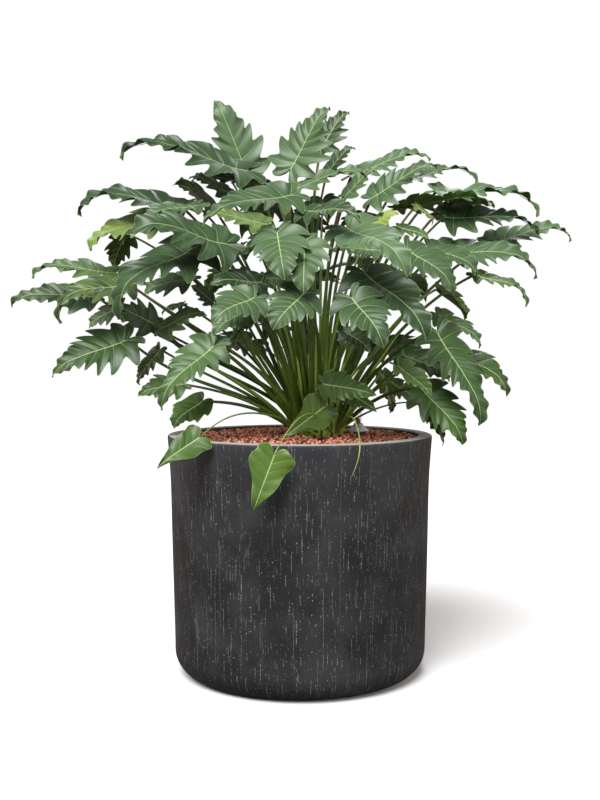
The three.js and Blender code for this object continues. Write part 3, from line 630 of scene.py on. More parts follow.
for name, profile, material, slot, node in [
        ("gauge_tube_clear", tube_profile, clear, "clear", "gauge_tube"),
        ("gauge_ring_grey", ring_profile, smoky, "grey", "gauge_ring"),
        ("gauge_bell_clear", bell_profile(), frosted, "clear", "gauge_bell"),
        ("gauge_float_red", float_profile, float_paint, "red", "gauge_float"),
        ("gauge_cap_clear", cap_profile, clear, "clear", "gauge_cap")]:
    turned_points, turned_faces = turned(profile, GAUGE_SIDES, gauge_centre)
    make_piece(name, [(turned_points, turned_faces, 0, {})], [material], [node])
    print(name, "triangles", len(turned_faces))

# %% [markdown]
# ## The root crown
#
# The stalks rise from a short woody stem base that shows as a brown, fibrous mound between them.
# It is an oval surface over a way out and a turn: a low dome with knobs, then an upright side
# that goes down into the granules. Its bark is grown, dry and matt. Fibres of old sheaths run
# down it, finer than half a millimetre, and are drawn 2 mm wide to show. Moss greens it in patches.

# %% Root crown
CROWN_BOTTOM = 250.0
CROWN_RINGS, CROWN_SIDES = 26, 72
DOME_EDGE_BELOW, DOME_HEIGHT, KNOB_HEIGHT = 4.0, 7.0, 2.2


def crown_dome(way_out, turn):
    """The dome falls from its middle as the square of the way out. Its knobs are one sine across
    times one in depth, plus half a slanting one, and fade to the edge as the fourth power."""
    x = CROWN_X + CROWN_HALF_WIDTH * way_out * np.cos(turn)
    y = CROWN_Y + CROWN_HALF_DEPTH * way_out * np.sin(turn)
    knobs = np.sin(x * 0.55) * np.sin(y * 0.5 + 1) + 0.5 * np.sin(x * 0.9 + y * 0.7)
    dome = DOME_HEIGHT * (1 - way_out ** 2) + KNOB_HEIGHT * knobs * (1 - way_out ** 4)
    return np.stack([x, y, CROWN_TOP - DOME_EDGE_BELOW + dome], -1)


crown_top = crown_dome(np.linspace(0, 1, CROWN_RINGS)[:, None],
                       np.linspace(0, 2 * np.pi, CROWN_SIDES, endpoint=False)[None, :])
crown_foot = crown_top[-1:].copy()
crown_foot[..., 2] = CROWN_BOTTOM
crown_middle = crown_foot[:1] * [0, 0, 1] + [CROWN_X, CROWN_Y, 0]
crown_grid = np.concatenate([crown_middle, crown_foot, crown_top[::-1]])
crown_faces = grid_faces(len(crown_grid), crown_grid.shape[1], wrap=True)
print("stem base triangles", len(crown_faces))

# %% Stem base finish
FIBRE_SIZE, PATCH_SIZE = 2.0, 16.7

bark, tree, shader = finish("fibrous stem base", Roughness=0.85, IOR=1.45)
place = add(tree, PLACE).outputs["Object"]
drawn_out = add(tree, STRETCH, place, None, None, (1.0, 1.0, 0.15))
fibres = add(tree, NOISE, drawn_out, scale_of(FIBRE_SIZE), 4.0)
patches = add(tree, NOISE, place, scale_of(PATCH_SIZE), 2.0)
mossy = add(tree, FADE, patches, 0.5, 0.6, **SOFT)
colour = add(tree, BLEND, fibres, linear("#241B10"), linear("#6A5230"), **COLOURS)
feed(tree, shader.inputs["Base Color"], add(tree, BLEND, mossy, colour, linear("#3C4A18"), **COLOURS))
feed(tree, shader.inputs["Normal"], add(tree, BUMP, 0.7, 0.002, None, fibres))

make_piece("stem_base", [(crown_grid.reshape(-1, 3), crown_faces, 0, {})], [bark], ["root_crown"])

# %% [markdown]
# ## The leaves
#
# Each leaf is listed as it is seen from the front, on the upright plane through the planter's
# axis: the place where its stalk meets the blade and the place of its tip, as (across, up,
# depth). Then come how high the midrib arches, how much the upper face turns to the front (below
# 0 it shows its underside) and the lobes on a side. The same list and rules shaped the packed
# model's plates, so a fine leaf can be laid right over its plate.

# %% Leaf list


def leaf(base, tip, bow, show, lobes, width=1.0, fold=10.0, bay=0.58, rise=0.0, slim=1.0,
         heart=False, young=0.0, blunt=0.4, rolled=False):
    """A leaf's row. Width widens the lobes, fold lifts each half by so many degrees, bay is the
    share of a lobe's reach that is left in its bays, rise lifts the stalk's bend and slim thins
    the stalk. A heart is a young, uncut leaf on a thin stalk. Young turns a leaf yellow-green,
    blunt rounds its lobes, and a rolled leaf has not opened yet."""
    return {"base": base, "tip": tip, "bow": bow, "show": show, "lobes": lobes, "width": width,
            "fold": fold, "bay": 1.0 if heart else bay, "rise": rise, "heart": heart,
            "slim": 0.5 if heart else slim, "young": young, "blunt": blunt, "rolled": rolled}


SHOOTS = {
    "left_heart": [
        leaf((-164, 381, -172), (-235, 328, -200), 8, 0.8, 4, heart=True, width=0.75, rise=45, young=0.45),
    ],
    "top_left": [
        leaf((-82, 800, 110), (-137, 926, 130), 10, 1, 5, width=0.85),
        leaf((-113, 803, 150), (-170, 826, 160), 8, 0.4, 4),
    ],
    "long_left": [
        leaf((-84, 812, 0), (-292, 835, -30), 29, 0.65, 6, width=0.85, blunt=0),
    ],
    "top_middle": [
        leaf((-15, 815, -40), (49, 912, -20), 12, 1, 6, width=1.1, blunt=0),
    ],
    "top_right": [
        leaf((32, 845, 60), (80, 905, 80), 10, 1, 5, blunt=0),
        leaf((42, 808, 30), (90, 848, 30), 8, 0.8, 4, width=1.1),
        leaf((73, 772, 0), (130, 815, -10), 8, 0.8, 4),
    ],
    "high_front": [
        leaf((-15, 782, -70), (107, 803, -90), 14, 0.55, 5, width=0.75),
        leaf((118, 725, -60), (160, 743, -70), 6, 1, 4, bay=1, young=0.9),
    ],
    "bright_left": [
        leaf((-13, 774, -130), (-159, 722, -210), 20, 0.65, 6, width=0.8, young=0.15),
        leaf((-60, 728, -40), (-154, 738, -60), 8, 0.7, 4, young=0.5),
    ],
    "bright_right": [
        leaf((10, 748, -140), (99, 730, -210), 14, 0.5, 6, width=0.85),
    ],
    "dark_left": [
        leaf((-47, 790, 70), (-177, 796, 60), 10, -0.3, 5, width=0.55),
        leaf((-118, 778, 40), (-180, 800, 30), 8, 1, 4),
    ],
    "arching_left": [
        leaf((-190, 754, -10), (-360, 742, -30), 31, 0.6, 6, width=0.9, blunt=0.2),
    ],
    "left_under": [
        leaf((-138, 754, 40), (-206, 790, 60), 8, -0.5, 4, width=1.2),
        leaf((-165, 757, -50), (-251, 727, -80), 12, 0.6, 5),
    ],
    "yellow_left": [
        leaf((-215, 742, -50), (-342, 685, -80), 14, 0.8, 6, width=1.1, young=0.65, blunt=0.2),
        leaf((-282, 712, 50), (-302, 656, 50), 8, -1.8, 4, width=1.2, young=0.4),
    ],
    "big_left": [
        leaf((-118, 695, -100), (-288, 695, -150), 34, 0.6, 6, width=1),
    ],
    "large_left_front": [
        leaf((-173, 690, -130), (-290, 567, -180), 42, 0.8, 6, width=1.1, blunt=0.2),
    ],
    "far_left": [
        leaf((-330, 610, 30), (-470, 594, 20), 18, 0.75, 6, width=0.7, bay=0.8, rise=-60),
        leaf((-300, 648, -10), (-436, 641, -20), 18, 0.45, 6, width=0.7, rise=-40, young=0.3, blunt=0.2),
        leaf((-290, 596, 0), (-343, 558, 0), 6, 1.2, 4, rise=-60, young=0.3),
    ],
    "far_left_bright": [
        leaf((-280, 632, -60), (-392, 566, -90), 34, 0.8, 6, rise=-40, young=0.35),
    ],
    "low_left": [
        leaf((-280, 540, -70), (-405, 479, -100), 14, 1, 6, width=1, rise=-70, blunt=0.2),
    ],
    "inner_left": [
        leaf((-238, 566, -30), (-300, 594, -40), 8, 0.8, 4, width=1.2, rise=-50, blunt=0.2),
        leaf((-190, 598, 0), (-224, 580, 0), 5, 0.8, 4),
        leaf((-178, 642, -30), (-254, 612, -30), 6, 0.6, 4, width=1.2, rise=-30),
        leaf((-112, 664, 60), (-84, 698, 70), 4, 0.8, 4),
    ],
    "edge_left": [
        leaf((-224, 559, -60), (-151, 580, -80), 10, 0.4, 4),
        leaf((-143, 602, -60), (-178, 628, -70), 6, 0.7, 4),
        leaf((-228, 524, -20), (-262, 466, -20), 8, 1, 4, rise=-40, young=0.3),
    ],
    "low_left_front": [
        leaf((-139, 532, -130), (-227, 424, -170), 24, 0.9, 6, width=0.85, blunt=0.3),
    ],
    "low_left_round": [
        leaf((-159, 440, -100), (-207, 394, -130), 10, 0.9, 4, width=1.1, bay=0.85),
        leaf((-190, 468, -60), (-264, 447, -70), 12, 0.7, 4),
    ],
    "front_left": [
        leaf((-73, 609, -200), (-144, 562, -250), 14, 0.9, 5, width=1.1, blunt=1),
    ],
    "front_left_under": [
        leaf((-75, 594, -160), (-141, 546, -190), 10, 0.8, 5, blunt=0.8),
        leaf((-75, 581, -130), (-107, 526, -140), 8, 0.8, 4, fold=50),
    ],
    "middle_left": [
        leaf((-63, 633, -120), (-149, 623, -160), 12, 0.6, 5),
        leaf((-60, 641, -90), (-8, 627, -120), 8, 0.8, 4, blunt=0.8),
    ],
    "folded_middle": [
        leaf((-47, 712, -90), (-89, 662, -110), 8, 0.8, 4, fold=50, young=0.3),
        leaf((-37, 713, -180), (-24, 636, -240), 14, 1, 5, width=1.25, blunt=1),
    ],
    "front_middle": [
        leaf((8, 700, -200), (6, 612, -250), 12, 1, 5, width=1.05, young=0.2, blunt=0.8),
    ],
    "front_low_middle": [
        leaf((6, 615, -230), (-44, 555, -270), 12, 1, 5, width=1.25, blunt=1),
    ],
    "front_low_right": [
        leaf((84, 608, -200), (136, 526, -250), 16, 0.9, 5, width=1.15, blunt=1),
        leaf((73, 554, -140), (115, 518, -160), 8, 0.8, 4, blunt=0.8),
    ],
    "large_right_front": [
        leaf((105, 648, -160), (206, 536, -240), 24, 0.9, 6, width=0.9, blunt=0.8),
    ],
    "large_right_upper": [
        leaf((75, 722, -150), (175, 638, -240), 28, 0.8, 6, width=0.9, blunt=1),
        leaf((126, 685, -80), (50, 680, -90), 8, 0.6, 5),
    ],
    "right_pair": [
        leaf((172, 688, -100), (246, 612, -130), 18, 1, 5, width=1.1, blunt=0.8),
        leaf((207, 690, -50), (288, 641, -80), 14, 1, 5, width=1.05, blunt=0.8),
        leaf((160, 722, -50), (209, 699, -60), 6, 0.8, 4, young=0.3),
    ],
    "right_long": [
        leaf((226, 684, -30), (386, 640, -50), 28, 0.75, 6, width=0.8),
    ],
    "right_outer": [
        leaf((284, 646, -60), (368, 593, -80), 20, 0.6, 5, width=0.7, young=0.2),
    ],
    "right_top_long": [
        leaf((222, 780, 20), (387, 740, 0), 26, 0.5, 6, width=0.8),
        leaf((188, 756, -60), (214, 725, -70), 6, 0.4, 4, young=0.5),
        leaf((153, 752, -20), (311, 759, -40), 14, -0.5, 6, width=0.5),
    ],
    "right_dark": [
        leaf((222, 746, 40), (316, 755, 50), 10, -0.6, 5, width=0.8),
        leaf((233, 738, 0), (387, 706, 10), 24, 0.7, 6, width=0.75),
    ],
    "far_right": [
        leaf((305, 697, 30), (441, 701, 40), 24, 0.6, 6, width=0.75),
    ],
    "upper_right": [
        leaf((84, 806, 20), (212, 832, 10), 14, 0.8, 6, width=0.8, blunt=0.2),
    ],
    "upper_right_back": [
        leaf((162, 797, 60), (288, 792, 50), 24, 0.7, 6, width=0.7),
    ],
    "upper_right_front": [
        leaf((115, 768, -40), (222, 820, -60), 11, 0.9, 6, width=0.9, blunt=0.1),
    ],
    "drooping_right": [
        leaf((222, 554, -120), (293, 399, -150), 20, 0.9, 6, width=0.8),
    ],
    "low_right": [
        leaf((197, 462, -110), (266, 368, -130), 16, 1, 5, width=1.05, blunt=0.3),
        leaf((200, 438, -70), (234, 366, -90), 8, 1, 4, width=0.6, slim=0.6, young=0.3),
        leaf((135, 486, -30), (147, 420, -40), 6, 1.2, 4, bay=0.85, width=0.8, young=0.5),
    ],
    "right_middle": [
        leaf((225, 580, -60), (293, 526, -80), 12, 0.6, 5),
        leaf((222, 622, -20), (267, 570, -20), 8, 0.6, 4, fold=50, young=0.5),
        leaf((165, 516, -80), (245, 472, -100), 12, 1, 5, width=1.1, young=0.3),
    ],
    "right_behind": [
        leaf((240, 524, -40), (337, 447, -60), 22, 0.9, 5, width=0.9, blunt=0.3),
        leaf((160, 497, -150), (215, 446, -180), 6, 0.8, 4, fold=40, young=0.3),
        leaf((150, 470, -50), (192, 436, -60), 6, 1, 4, slim=0.6, young=0.6),
    ],
    "front_low": [
        leaf((38, 468, -110), (126, 449, -150), 16, 0.8, 5, width=0.8, blunt=0.8),
        leaf((71, 458, -80), (126, 421, -100), 8, 0.5, 4, width=0.8, young=0.2),
    ],
    "front_edge": [
        leaf((40, 431, -110), (-28, 381, -140), 8, 0.8, 4, heart=True, width=0.85, young=0.7),
        leaf((-42, 352, -236), (-76, 259, -232), 6, 1, 4, heart=True, width=0.9, rise=60, young=0.8),
        leaf((101, 360, -228), (84, 314, -226), 4, 0.8, 4, heart=True, width=0.2, rise=50, young=0.8,
             rolled=True),
    ],
}
print("leaves listed", sum(len(rows) for rows in SHOOTS.values()))

# %% [markdown]
# The photograph doesn't show the back half, so one rule spreads its leaves in tiers, with every
# second leaf of a tier higher. The rule draws from a plain row of numbers that starts from a
# seed, and the lobes of every leaf draw from such a row too. The list was written for an eye
# 1800 mm in front of its plane and 531 mm up, so the rule writes its places for that eye.

# %% Rule for the back leaves
BACK_TIERS = [
    {"count": 5, "reach": 195, "height": 550, "length": 150, "bow": 24, "lobes": 5},
    {"count": 5, "reach": 190, "height": 665, "length": 150, "bow": 24, "lobes": 5},
    {"count": 4, "reach": 115, "height": 765, "length": 130, "bow": 18, "lobes": 5},
]
BACK_FROM, BACK_TO = 40.0, 140.0
BACK_SHOW = -0.7
BACK_STAGGER = 18.0
BACK_PLAY = {"turn": 0.5, "reach": 0.3, "height": 20.0, "drop": 0.4}
BACK_LEAST_DROP = 0.1
BACK_SPREAD = 0.85
BACK_SHOOT_SIZE = 3
BACK_SEED = 23
FIRST_SEED, SEED_STEP = 1, 7919
LIST_DISTANCE, LIST_HEIGHT = 1800.0, 531.0


def number_row(seed, count):
    """Numbers from 0 to 1: each state is the one before times 16807, modulo 2147483647."""
    state, numbers = seed, []
    for _ in range(count):
        state = (state * 16807) % 2147483647
        numbers.append(state / 2147483647)
    return numbers


def seen_at(turn, radius, z):
    """A true place about the crown's axis, written as the leaf list writes it: across and up
    shrink towards the eye's axis as much as the place lies behind the listed plane."""
    y = CROWN_Y + radius * math.sin(turn)
    nearer = (LIST_DISTANCE + y) / LIST_DISTANCE
    return ((CROWN_X + radius * math.cos(turn)) / nearer, LIST_HEIGHT + (z - LIST_HEIGHT) / nearer, y)


def back_shoots():
    """The rows of the back leaves, three to a shoot."""
    numbers = iter(number_row(BACK_SEED, 4 * sum(tier["count"] for tier in BACK_TIERS)))
    shoots = {}
    for t, tier in enumerate(BACK_TIERS):
        for i in range(tier["count"]):
            share = (i + 0.5 + BACK_PLAY["turn"] * (next(numbers) - 0.5)) / tier["count"]
            turn = math.radians(BACK_FROM + (BACK_TO - BACK_FROM) * share)
            reach = tier["reach"] * (1 + BACK_PLAY["reach"] * (next(numbers) - 0.5))
            stagger = BACK_STAGGER * (-1 if i % 2 == 0 else 1)
            height = tier["height"] + stagger + BACK_PLAY["height"] * (next(numbers) - 0.5)
            drop = tier["length"] * (BACK_LEAST_DROP + BACK_PLAY["drop"] * next(numbers))
            out = reach + tier["length"] * BACK_SPREAD
            row = leaf(seen_at(turn, reach, height), seen_at(turn, out, height - drop),
                       tier["bow"], BACK_SHOW, tier["lobes"], blunt=0.3)
            shoots.setdefault(f"back_{t + 1}_{i // BACK_SHOOT_SIZE + 1}", []).append(row)
    return shoots


all_shoots = {**SHOOTS, **back_shoots()}
print("shoots", len(all_shoots), "leaves", sum(len(rows) for rows in all_shoots.values()))

# %% [markdown]
# A blade's frame says where a point of the flat leaf lies in space: x along the midrib and y
# across, both in blade lengths, and a lift in millimetres along the upper face. The midrib runs
# straight and then arches down to the tip, the halves fold up a little and their edges droop.

# %% Blade frame
HEART_HEIGHT = 480.0
FACE_UP = 0.3
ARCH_SCALE = 6.75
EDGE_DROOP = 0.55


def true_point(seen, shift):
    """A listed place, moved back by a shift, as a true point: the other way round."""
    x, z, y = seen
    depth = y + shift
    nearer = (LIST_DISTANCE + depth) / LIST_DISTANCE
    return np.array([x * nearer, depth, LIST_HEIGHT + (z - LIST_HEIGHT) * nearer])


def blade_frame(row, shift):
    """The blade's base, length and three directions. Its upper face looks away from the plant's
    middle, towards the viewer by the row's show, and a little up."""
    base = true_point(row["base"], shift)
    tip = true_point(row["tip"], shift)
    length = np.linalg.norm(tip - base)
    along = (tip - base) / length
    outward = unit((base + tip) / 2 - [CROWN_X, CROWN_Y, HEART_HEIGHT]) + [0, -row["show"], FACE_UP]
    face = unit(outward - along * (outward @ along))
    fold = math.radians(row["fold"])
    return {"base": base, "length": length, "along": along, "face": face,
            "across": np.cross(face, along), "flat": math.cos(fold), "climb": math.sin(fold),
            "bow": row["bow"]}


def blade_at(blade, x, y, lift):
    """Points of the blade. The arch is bow times 6.75 x squared (1 - x), and the height across
    is the length times (climb times the size of y, less 0.55 y squared), plus the lift."""
    x, y, lift = np.broadcast_arrays(np.asarray(x, float), y, lift)
    ahead = np.maximum(x, 0)
    length, along, face = blade["length"], blade["along"], blade["face"]
    slope = blade["bow"] * ARCH_SCALE * ahead * (2 - 3 * ahead) / length
    normal = unit(face - along * slope[..., None])
    height = length * (blade["climb"] * np.abs(y) - EDGE_DROOP * y * y) + lift
    arch = blade["bow"] * ARCH_SCALE * ahead ** 2 * (1 - ahead)
    return (blade["base"] + along * (length * x)[..., None] + face * arch[..., None]
            + blade["across"] * (length * y * blade["flat"])[..., None] + normal * height[..., None])


# %% [markdown]
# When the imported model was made, a leaf that touched another was moved back or forwards, and its
# stalk bowed aside, in small steps until it was clear. The plates show which step each leaf took:
# the right one puts the blade's tip on a corner of the plate, and the stalk's points in the
# middle of its corners.

# %% Stalk curve
UP = np.array([0.0, 0.0, 1.0])


def stalk_controls(foot, blade, bow, rise, end):
    """The four points of the stalk's cubic curve. The second lies 0.38 of the length from the
    foot, up and out, and the third 0.33 of it before the end, on a line that turns into the
    blade's. Both move aside by the bow, and the third up by the rise."""
    away = end - foot
    length = np.linalg.norm(away)
    away = away / length
    aside = unit(np.cross(away, UP)) * bow
    leave = unit(away + 0.42 * UP)
    arrive = unit(away + 0.3 * blade["along"] - 0.12 * UP)
    first = foot + leave * 0.38 * length + aside * 0.7
    second = end - arrive * 0.33 * length + aside + UP * rise
    return np.array([foot, first, second, end])


def cubic(controls, t):
    """Points of a cubic curve at the shares t."""
    t = np.asarray(t, float)[:, None]
    a, b, c, d = np.asarray(controls, float)
    return a * (1 - t) ** 3 + 3 * b * t * (1 - t) ** 2 + 3 * c * t ** 2 * (1 - t) + d * t ** 3


# %% Lay each leaf over its plate
DEPTH_SHIFTS = (0, 12, -12, 24, -24, 36, -36, 50, -50, 65, -65)
STALK_BOWS = (0, 15, -15, 30, -30, 50, -50, 75, -75)
PLATE_HALF_THICKNESS = 0.7
STALK_FOOT_RADIUS, STALK_END_RADIUS, LATER_STALK_SCALE = 4.2, 2.0, 0.85
STALK_CLEARANCE, FOOT_DEPTH, STALK_STEPS = 4.0, 22.0, 4
PLATE_STALK_END, PLATE_STALK_LIFT = 0.08, -0.28


def corners_of(node):
    """The different corners of a plate, in millimetres."""
    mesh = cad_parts[node].data
    flat = np.zeros(len(mesh.vertices) * 3)
    mesh.vertices.foreach_get("co", flat)
    return np.unique(np.round(flat.reshape(-1, 3) / MM, 3), axis=0)


def settle(row, corners, foot, is_first):
    """The blade's frame and stalk bow whose points lie on the plate's corners."""
    misses = [np.linalg.norm(corners - blade_at(blade_frame(row, shift), 1, 0, PLATE_HALF_THICKNESS),
                             axis=1).min() for shift in DEPTH_SHIFTS]
    blade = blade_frame(row, DEPTH_SHIFTS[int(np.argmin(misses))])
    end = blade_at(blade, PLATE_STALK_END, 0, PLATE_STALK_LIFT)
    steps = np.arange(1, STALK_STEPS)
    share = (steps + 1) / (STALK_STEPS + 1) if is_first else steps / STALK_STEPS
    radii = STALK_FOOT_RADIUS + (STALK_END_RADIUS - STALK_FOOT_RADIUS) * share
    radii = radii * row["slim"] * (1 if is_first else LATER_STALK_SCALE)
    bow_misses = []
    for bow in STALK_BOWS:
        line = cubic(stalk_controls(foot, blade, bow, row["rise"], end), steps / STALK_STEPS)
        apart = np.linalg.norm(corners[None] - line[:, None], axis=2)
        nearest = np.sort(np.abs(apart - radii[:, None]), axis=1)[:, :3]
        bow_misses.append(nearest.mean())
    return blade, STALK_BOWS[int(np.argmin(bow_misses))], min(misses), min(bow_misses)


# %% [markdown]
# A blade's edge is worked out in vein coordinates. The number q runs from the base to the tip
# and is whole where a side vein leaves the midrib and half-way in the bays between lobes. From
# its root on the midrib, each line of equal q goes out to the edge and turns forwards, so the
# lobes sweep to the tip as the real ones do. The number v runs from -1 at one edge over 0 at the
# midrib to 1 at the other edge. A young heart-shaped leaf isn't cut yet, so one wavy curve with a
# notched base is its edge.

# %% Veins and bays
LOBE_STEPS, BASE_STEPS, END_STEPS = 12, 6, 18
END_VEINS = 3.0
BAY_PLACE, BLUNT_BAY_SHIFT = 0.42, 0.16
LOBE_REACH = 0.42
LAST_ANGLE, BASE_ANGLE_MORE, END_ANGLE = 45.0, 86.0, 36.0


def bay_place(row):
    """How far in front of a lobe's tip its bay lies: nearly half-way for pointed lobes, and
    closer for blunt ones, which are hooked."""
    return BAY_PLACE - BLUNT_BAY_SHIFT * row["blunt"]


def vein_numbers(row):
    """The rows' q: the round base, the lobes up to the last bay, and the end lobe."""
    base = np.linspace(-0.5, 0, BASE_STEPS + 1)[:-1]
    last = row["lobes"] - 1 + bay_place(row)
    middle = np.linspace(0, last, int(last * LOBE_STEPS) + 1)
    end = last + (END_VEINS - bay_place(row)) * np.linspace(0, 1, END_STEPS + 1)[1:]
    return np.concatenate([base, middle, end])


def lobe_knots(row, numbers):
    """Root, angle and reach of each side vein, and of a last one in the end lobe. Roots move up
    the midrib a little faster than the vein's number. The angle from the midrib falls from 131
    degrees, which points back, to 45. The reach is greatest at one vein and falls to both sides
    as the square of the way. Angle and reach play a little by the leaf's own numbers."""
    n = row["lobes"]
    k = np.arange(n)
    draws = np.array([next(numbers) for _ in range(2 * n)]).reshape(n, 2)
    root = 0.02 + 0.58 * (k / n) ** 1.1
    angle = LAST_ANGLE + BASE_ANGLE_MORE * (1 - k / (n - 1)) ** 2.5 + 8 * (draws[:, 0] - 0.5)
    widest, ahead = (1.0, 0.95) if row["heart"] else (1.8, 0.67)
    shorter = np.where(k < widest, 0.4 * ((k - widest) / widest) ** 2,
                       ahead * ((k - widest) / (n - widest)) ** 2)
    reach = LOBE_REACH * row["width"] * (1 - shorter) * (1 + 0.2 * (draws[:, 1] - 0.5))
    return (np.append(root, root[-1] + 0.22), np.append(angle, END_ANGLE),
            np.append(reach, 0.65 * reach[-1]))


def bay_shape(way, row):
    """0 at a lobe's tip, 1 in the bay in front of it, and 0 at the next tip. The edge falls as
    a power of a sine. It rises again as a power of a cosine for pointed lobes, and as one less
    a sine, which is a rounder back, for blunt ones."""
    place = bay_place(row)
    fall = np.sin(np.pi / 2 * np.clip(way / place, 0, 1)) ** 2.2
    rise = np.pi / 2 * np.clip((way - place) / (1 - place), 0, 1)
    rising = (1 - row["blunt"]) * np.cos(rise) ** 1.7 + row["blunt"] * (1 - np.sin(rise))
    return np.where(way < place, fall, rising)


# %% Blade edges
LOBE_TILT = 8.0
BACKWARD_LIMIT = 176.0
HEART_WIDTH, HEART_BASE = 0.52, 1.25


def lobed_edge(row, q, root, angle, reach):
    """The edge of the base and the lobes. Each line reaches out as far as its bay lets it, and
    bays get shallower to the tip. They also lean back, most at the base. The base itself is
    rounded: its reach grows as a power of a sine, and its lines turn back by 40 degrees more."""
    n = row["lobes"]
    kept = np.where(q < 1, min(row["bay"] * 1.12, 1), row["bay"])
    past = np.clip((q - 0.3 * n) / (0.6 * n), 0, 1)
    kept = kept + (1 - kept) * (0.4 + 0.5 * row["blunt"]) * past ** 1.3
    way = np.clip(q, 0, None)
    bay = bay_shape(way - np.floor(way), row)
    out = reach * (1 - (1 - kept) * bay)
    angle = angle + LOBE_TILT * bay * (row["bay"] < 1) * np.clip(1 - q / (0.75 * n), 0, 1)
    base_share = np.clip((q + 0.5) / 0.5, 0, 1)
    out = np.where(q < 0, reach * np.sin(np.pi / 2 * base_share) ** 0.7, out)
    angle = np.where(q < 0, np.minimum(angle + 40 * (1 - base_share), BACKWARD_LIMIT), angle)
    return np.stack([root + out * np.cos(np.radians(angle)), out * np.sin(np.radians(angle))], 1)


def end_lobe(row, start, t):
    """The end lobe's edge: a cubic curve from the last bay to the tip, fuller on blunt leaves."""
    bulge = (0.01 + 0.04 * row["blunt"]) * row["width"]
    slender = (0.06 + 0.06 * row["blunt"]) * row["width"]
    return cubic([start, start + [0.12, bulge], [0.88, slender], [1.0, 0.0]], t)


def heart_edge(row, base, ahead, phase):
    """An uncut leaf's edge: a cubic curve from its notched base to its long tip, whose distance
    from the midrib is multiplied by 1 plus a ninth of a sine, two waves long."""
    widest = HEART_WIDTH * row["width"]
    edge = cubic([base, [0.0, 1.2 * widest], [0.5, 0.42 * widest], [1.0, 0.0]], ahead)
    return edge * np.stack([1 + 0 * ahead, 1 + 0.11 * np.sin(13 * ahead + phase)], 1)


def half_edge(row, q, numbers):
    """For each q, the root on the midrib and the edge point of one half, in blade lengths."""
    root_knots, angle_knots, reach_knots = lobe_knots(row, numbers)
    knots = np.arange(row["lobes"] + 1)
    root = np.interp(q, knots, root_knots)
    angle = np.interp(q, knots, angle_knots)
    reach = np.interp(q, knots, reach_knots)
    edge = lobed_edge(row, q, root, angle, reach)
    if row["heart"]:
        ahead = np.clip(q / q[-1], 0, 1)
        edge = edge * [1.0, HEART_BASE]
        heart = heart_edge(row, edge[BASE_STEPS], ahead, angle_knots[1])
        edge = np.where((q > 0)[:, None], heart, edge)
        return np.where(q > 0, 0.02 + 0.98 * ahead ** 1.1, root), edge
    last = np.argmin(np.abs(q - (row["lobes"] - 1 + bay_place(row))))
    t = np.clip((q - q[last]) / (q[-1] - q[last]), 0, 1)
    edge = np.where((q > q[last])[:, None], end_lobe(row, edge[last], t), edge)
    root = np.where(q > q[last], root[last] + (1 - root[last]) * t ** 1.15, root)
    return root, edge


# %% Flat blade
SIDE_STEPS = np.array([0, 0.035, 0.09, 0.2, 0.34, 0.5, 0.66, 0.8, 0.91, 1.0])
VEIN_TURN = 0.03


def flat_blade(row, numbers):
    """The flat leaf as a grid of x and y over q and v. Each line from root to edge is straight
    plus a sideways arc, which turns it forwards."""
    q = vein_numbers(row)
    v = np.concatenate([-SIDE_STEPS[:0:-1], SIDE_STEPS])
    sides = []
    for _ in range(2):
        root, edge = half_edge(row, q, numbers)
        rib = np.stack([root, np.zeros_like(root)], 1)
        chord = edge - rib
        turned_back = np.stack([-chord[:, 1], chord[:, 0]], 1)
        share = SIDE_STEPS[None, :, None]
        arc_out = turned_back[:, None] * VEIN_TURN * 4 * share * (1 - share)
        sides.append(rib[:, None] + chord[:, None] * share + arc_out)
    left, right = sides
    right = right * [1, -1]
    grid = np.concatenate([right[:, :0:-1], left], axis=1)
    return q, v, grid[..., 0], grid[..., 1]


# %% [markdown]
# The flat leaf then gets its relief. The skin swells between the side veins and sinks along
# them, the bays' edges stand up while the lobes' ends hang, a slow wave runs along the margin,
# and the last part of the blade humps so that the tip hooks down. The blade is a thin closed
# shell: an upper and an under face that meet at the edge.

# %% Relief
SWELL, EDGE_WAVE, SLOW_WAVE = 0.024, 0.034, 0.026
TIP_HUMP, TIP_FOLD = 0.02, 0.35
TWIST = 0.22
HEART_PLEATS = 0.25


def tip_hump(x, length):
    """The hump of the last part of a blade, half a sine wave high."""
    return TIP_HUMP * length * np.sin(np.pi * np.clip((x - 0.62) / 0.38, 0, 1))


def relief(row, q, v, x, y, length, play):
    """The lift of each point in millimetres. Between veins, which one less a cosine of q tells,
    the skin swells and the edge waves. A slow sine along the edge, the hump, the folded tip and
    a twist that grows along the blade are added."""
    side = np.abs(v)[None, :]
    between = 0.5 - 0.5 * np.cos(2 * np.pi * q)[:, None]
    in_lobes = np.clip((q + 0.3) / 0.6, 0, 1)[:, None]
    pleated = length * (HEART_PLEATS if row["heart"] else 1)
    swell = SWELL * pleated * (between ** 0.6 - 0.4) * side ** 0.6 * (1 - 0.75 * side)
    wave = EDGE_WAVE * pleated * (between - 0.5) * side ** 3 * in_lobes
    turns = q[:, None] * play[0] + np.sign(v)[None, :] * play[1] + play[2]
    slow = SLOW_WAVE * length * np.sin(turns) * side ** 2
    folded = TIP_FOLD * length * np.abs(y) * np.clip((x - 0.6) / 0.4, 0, 1) ** 1.5
    twist = TWIST * play[3] * length * y * (x - 0.2)
    return swell + wave + slow + tip_hump(x, length) + folded + twist


# %% Fine blade
SHELL_HALF_THICKNESS = 0.5


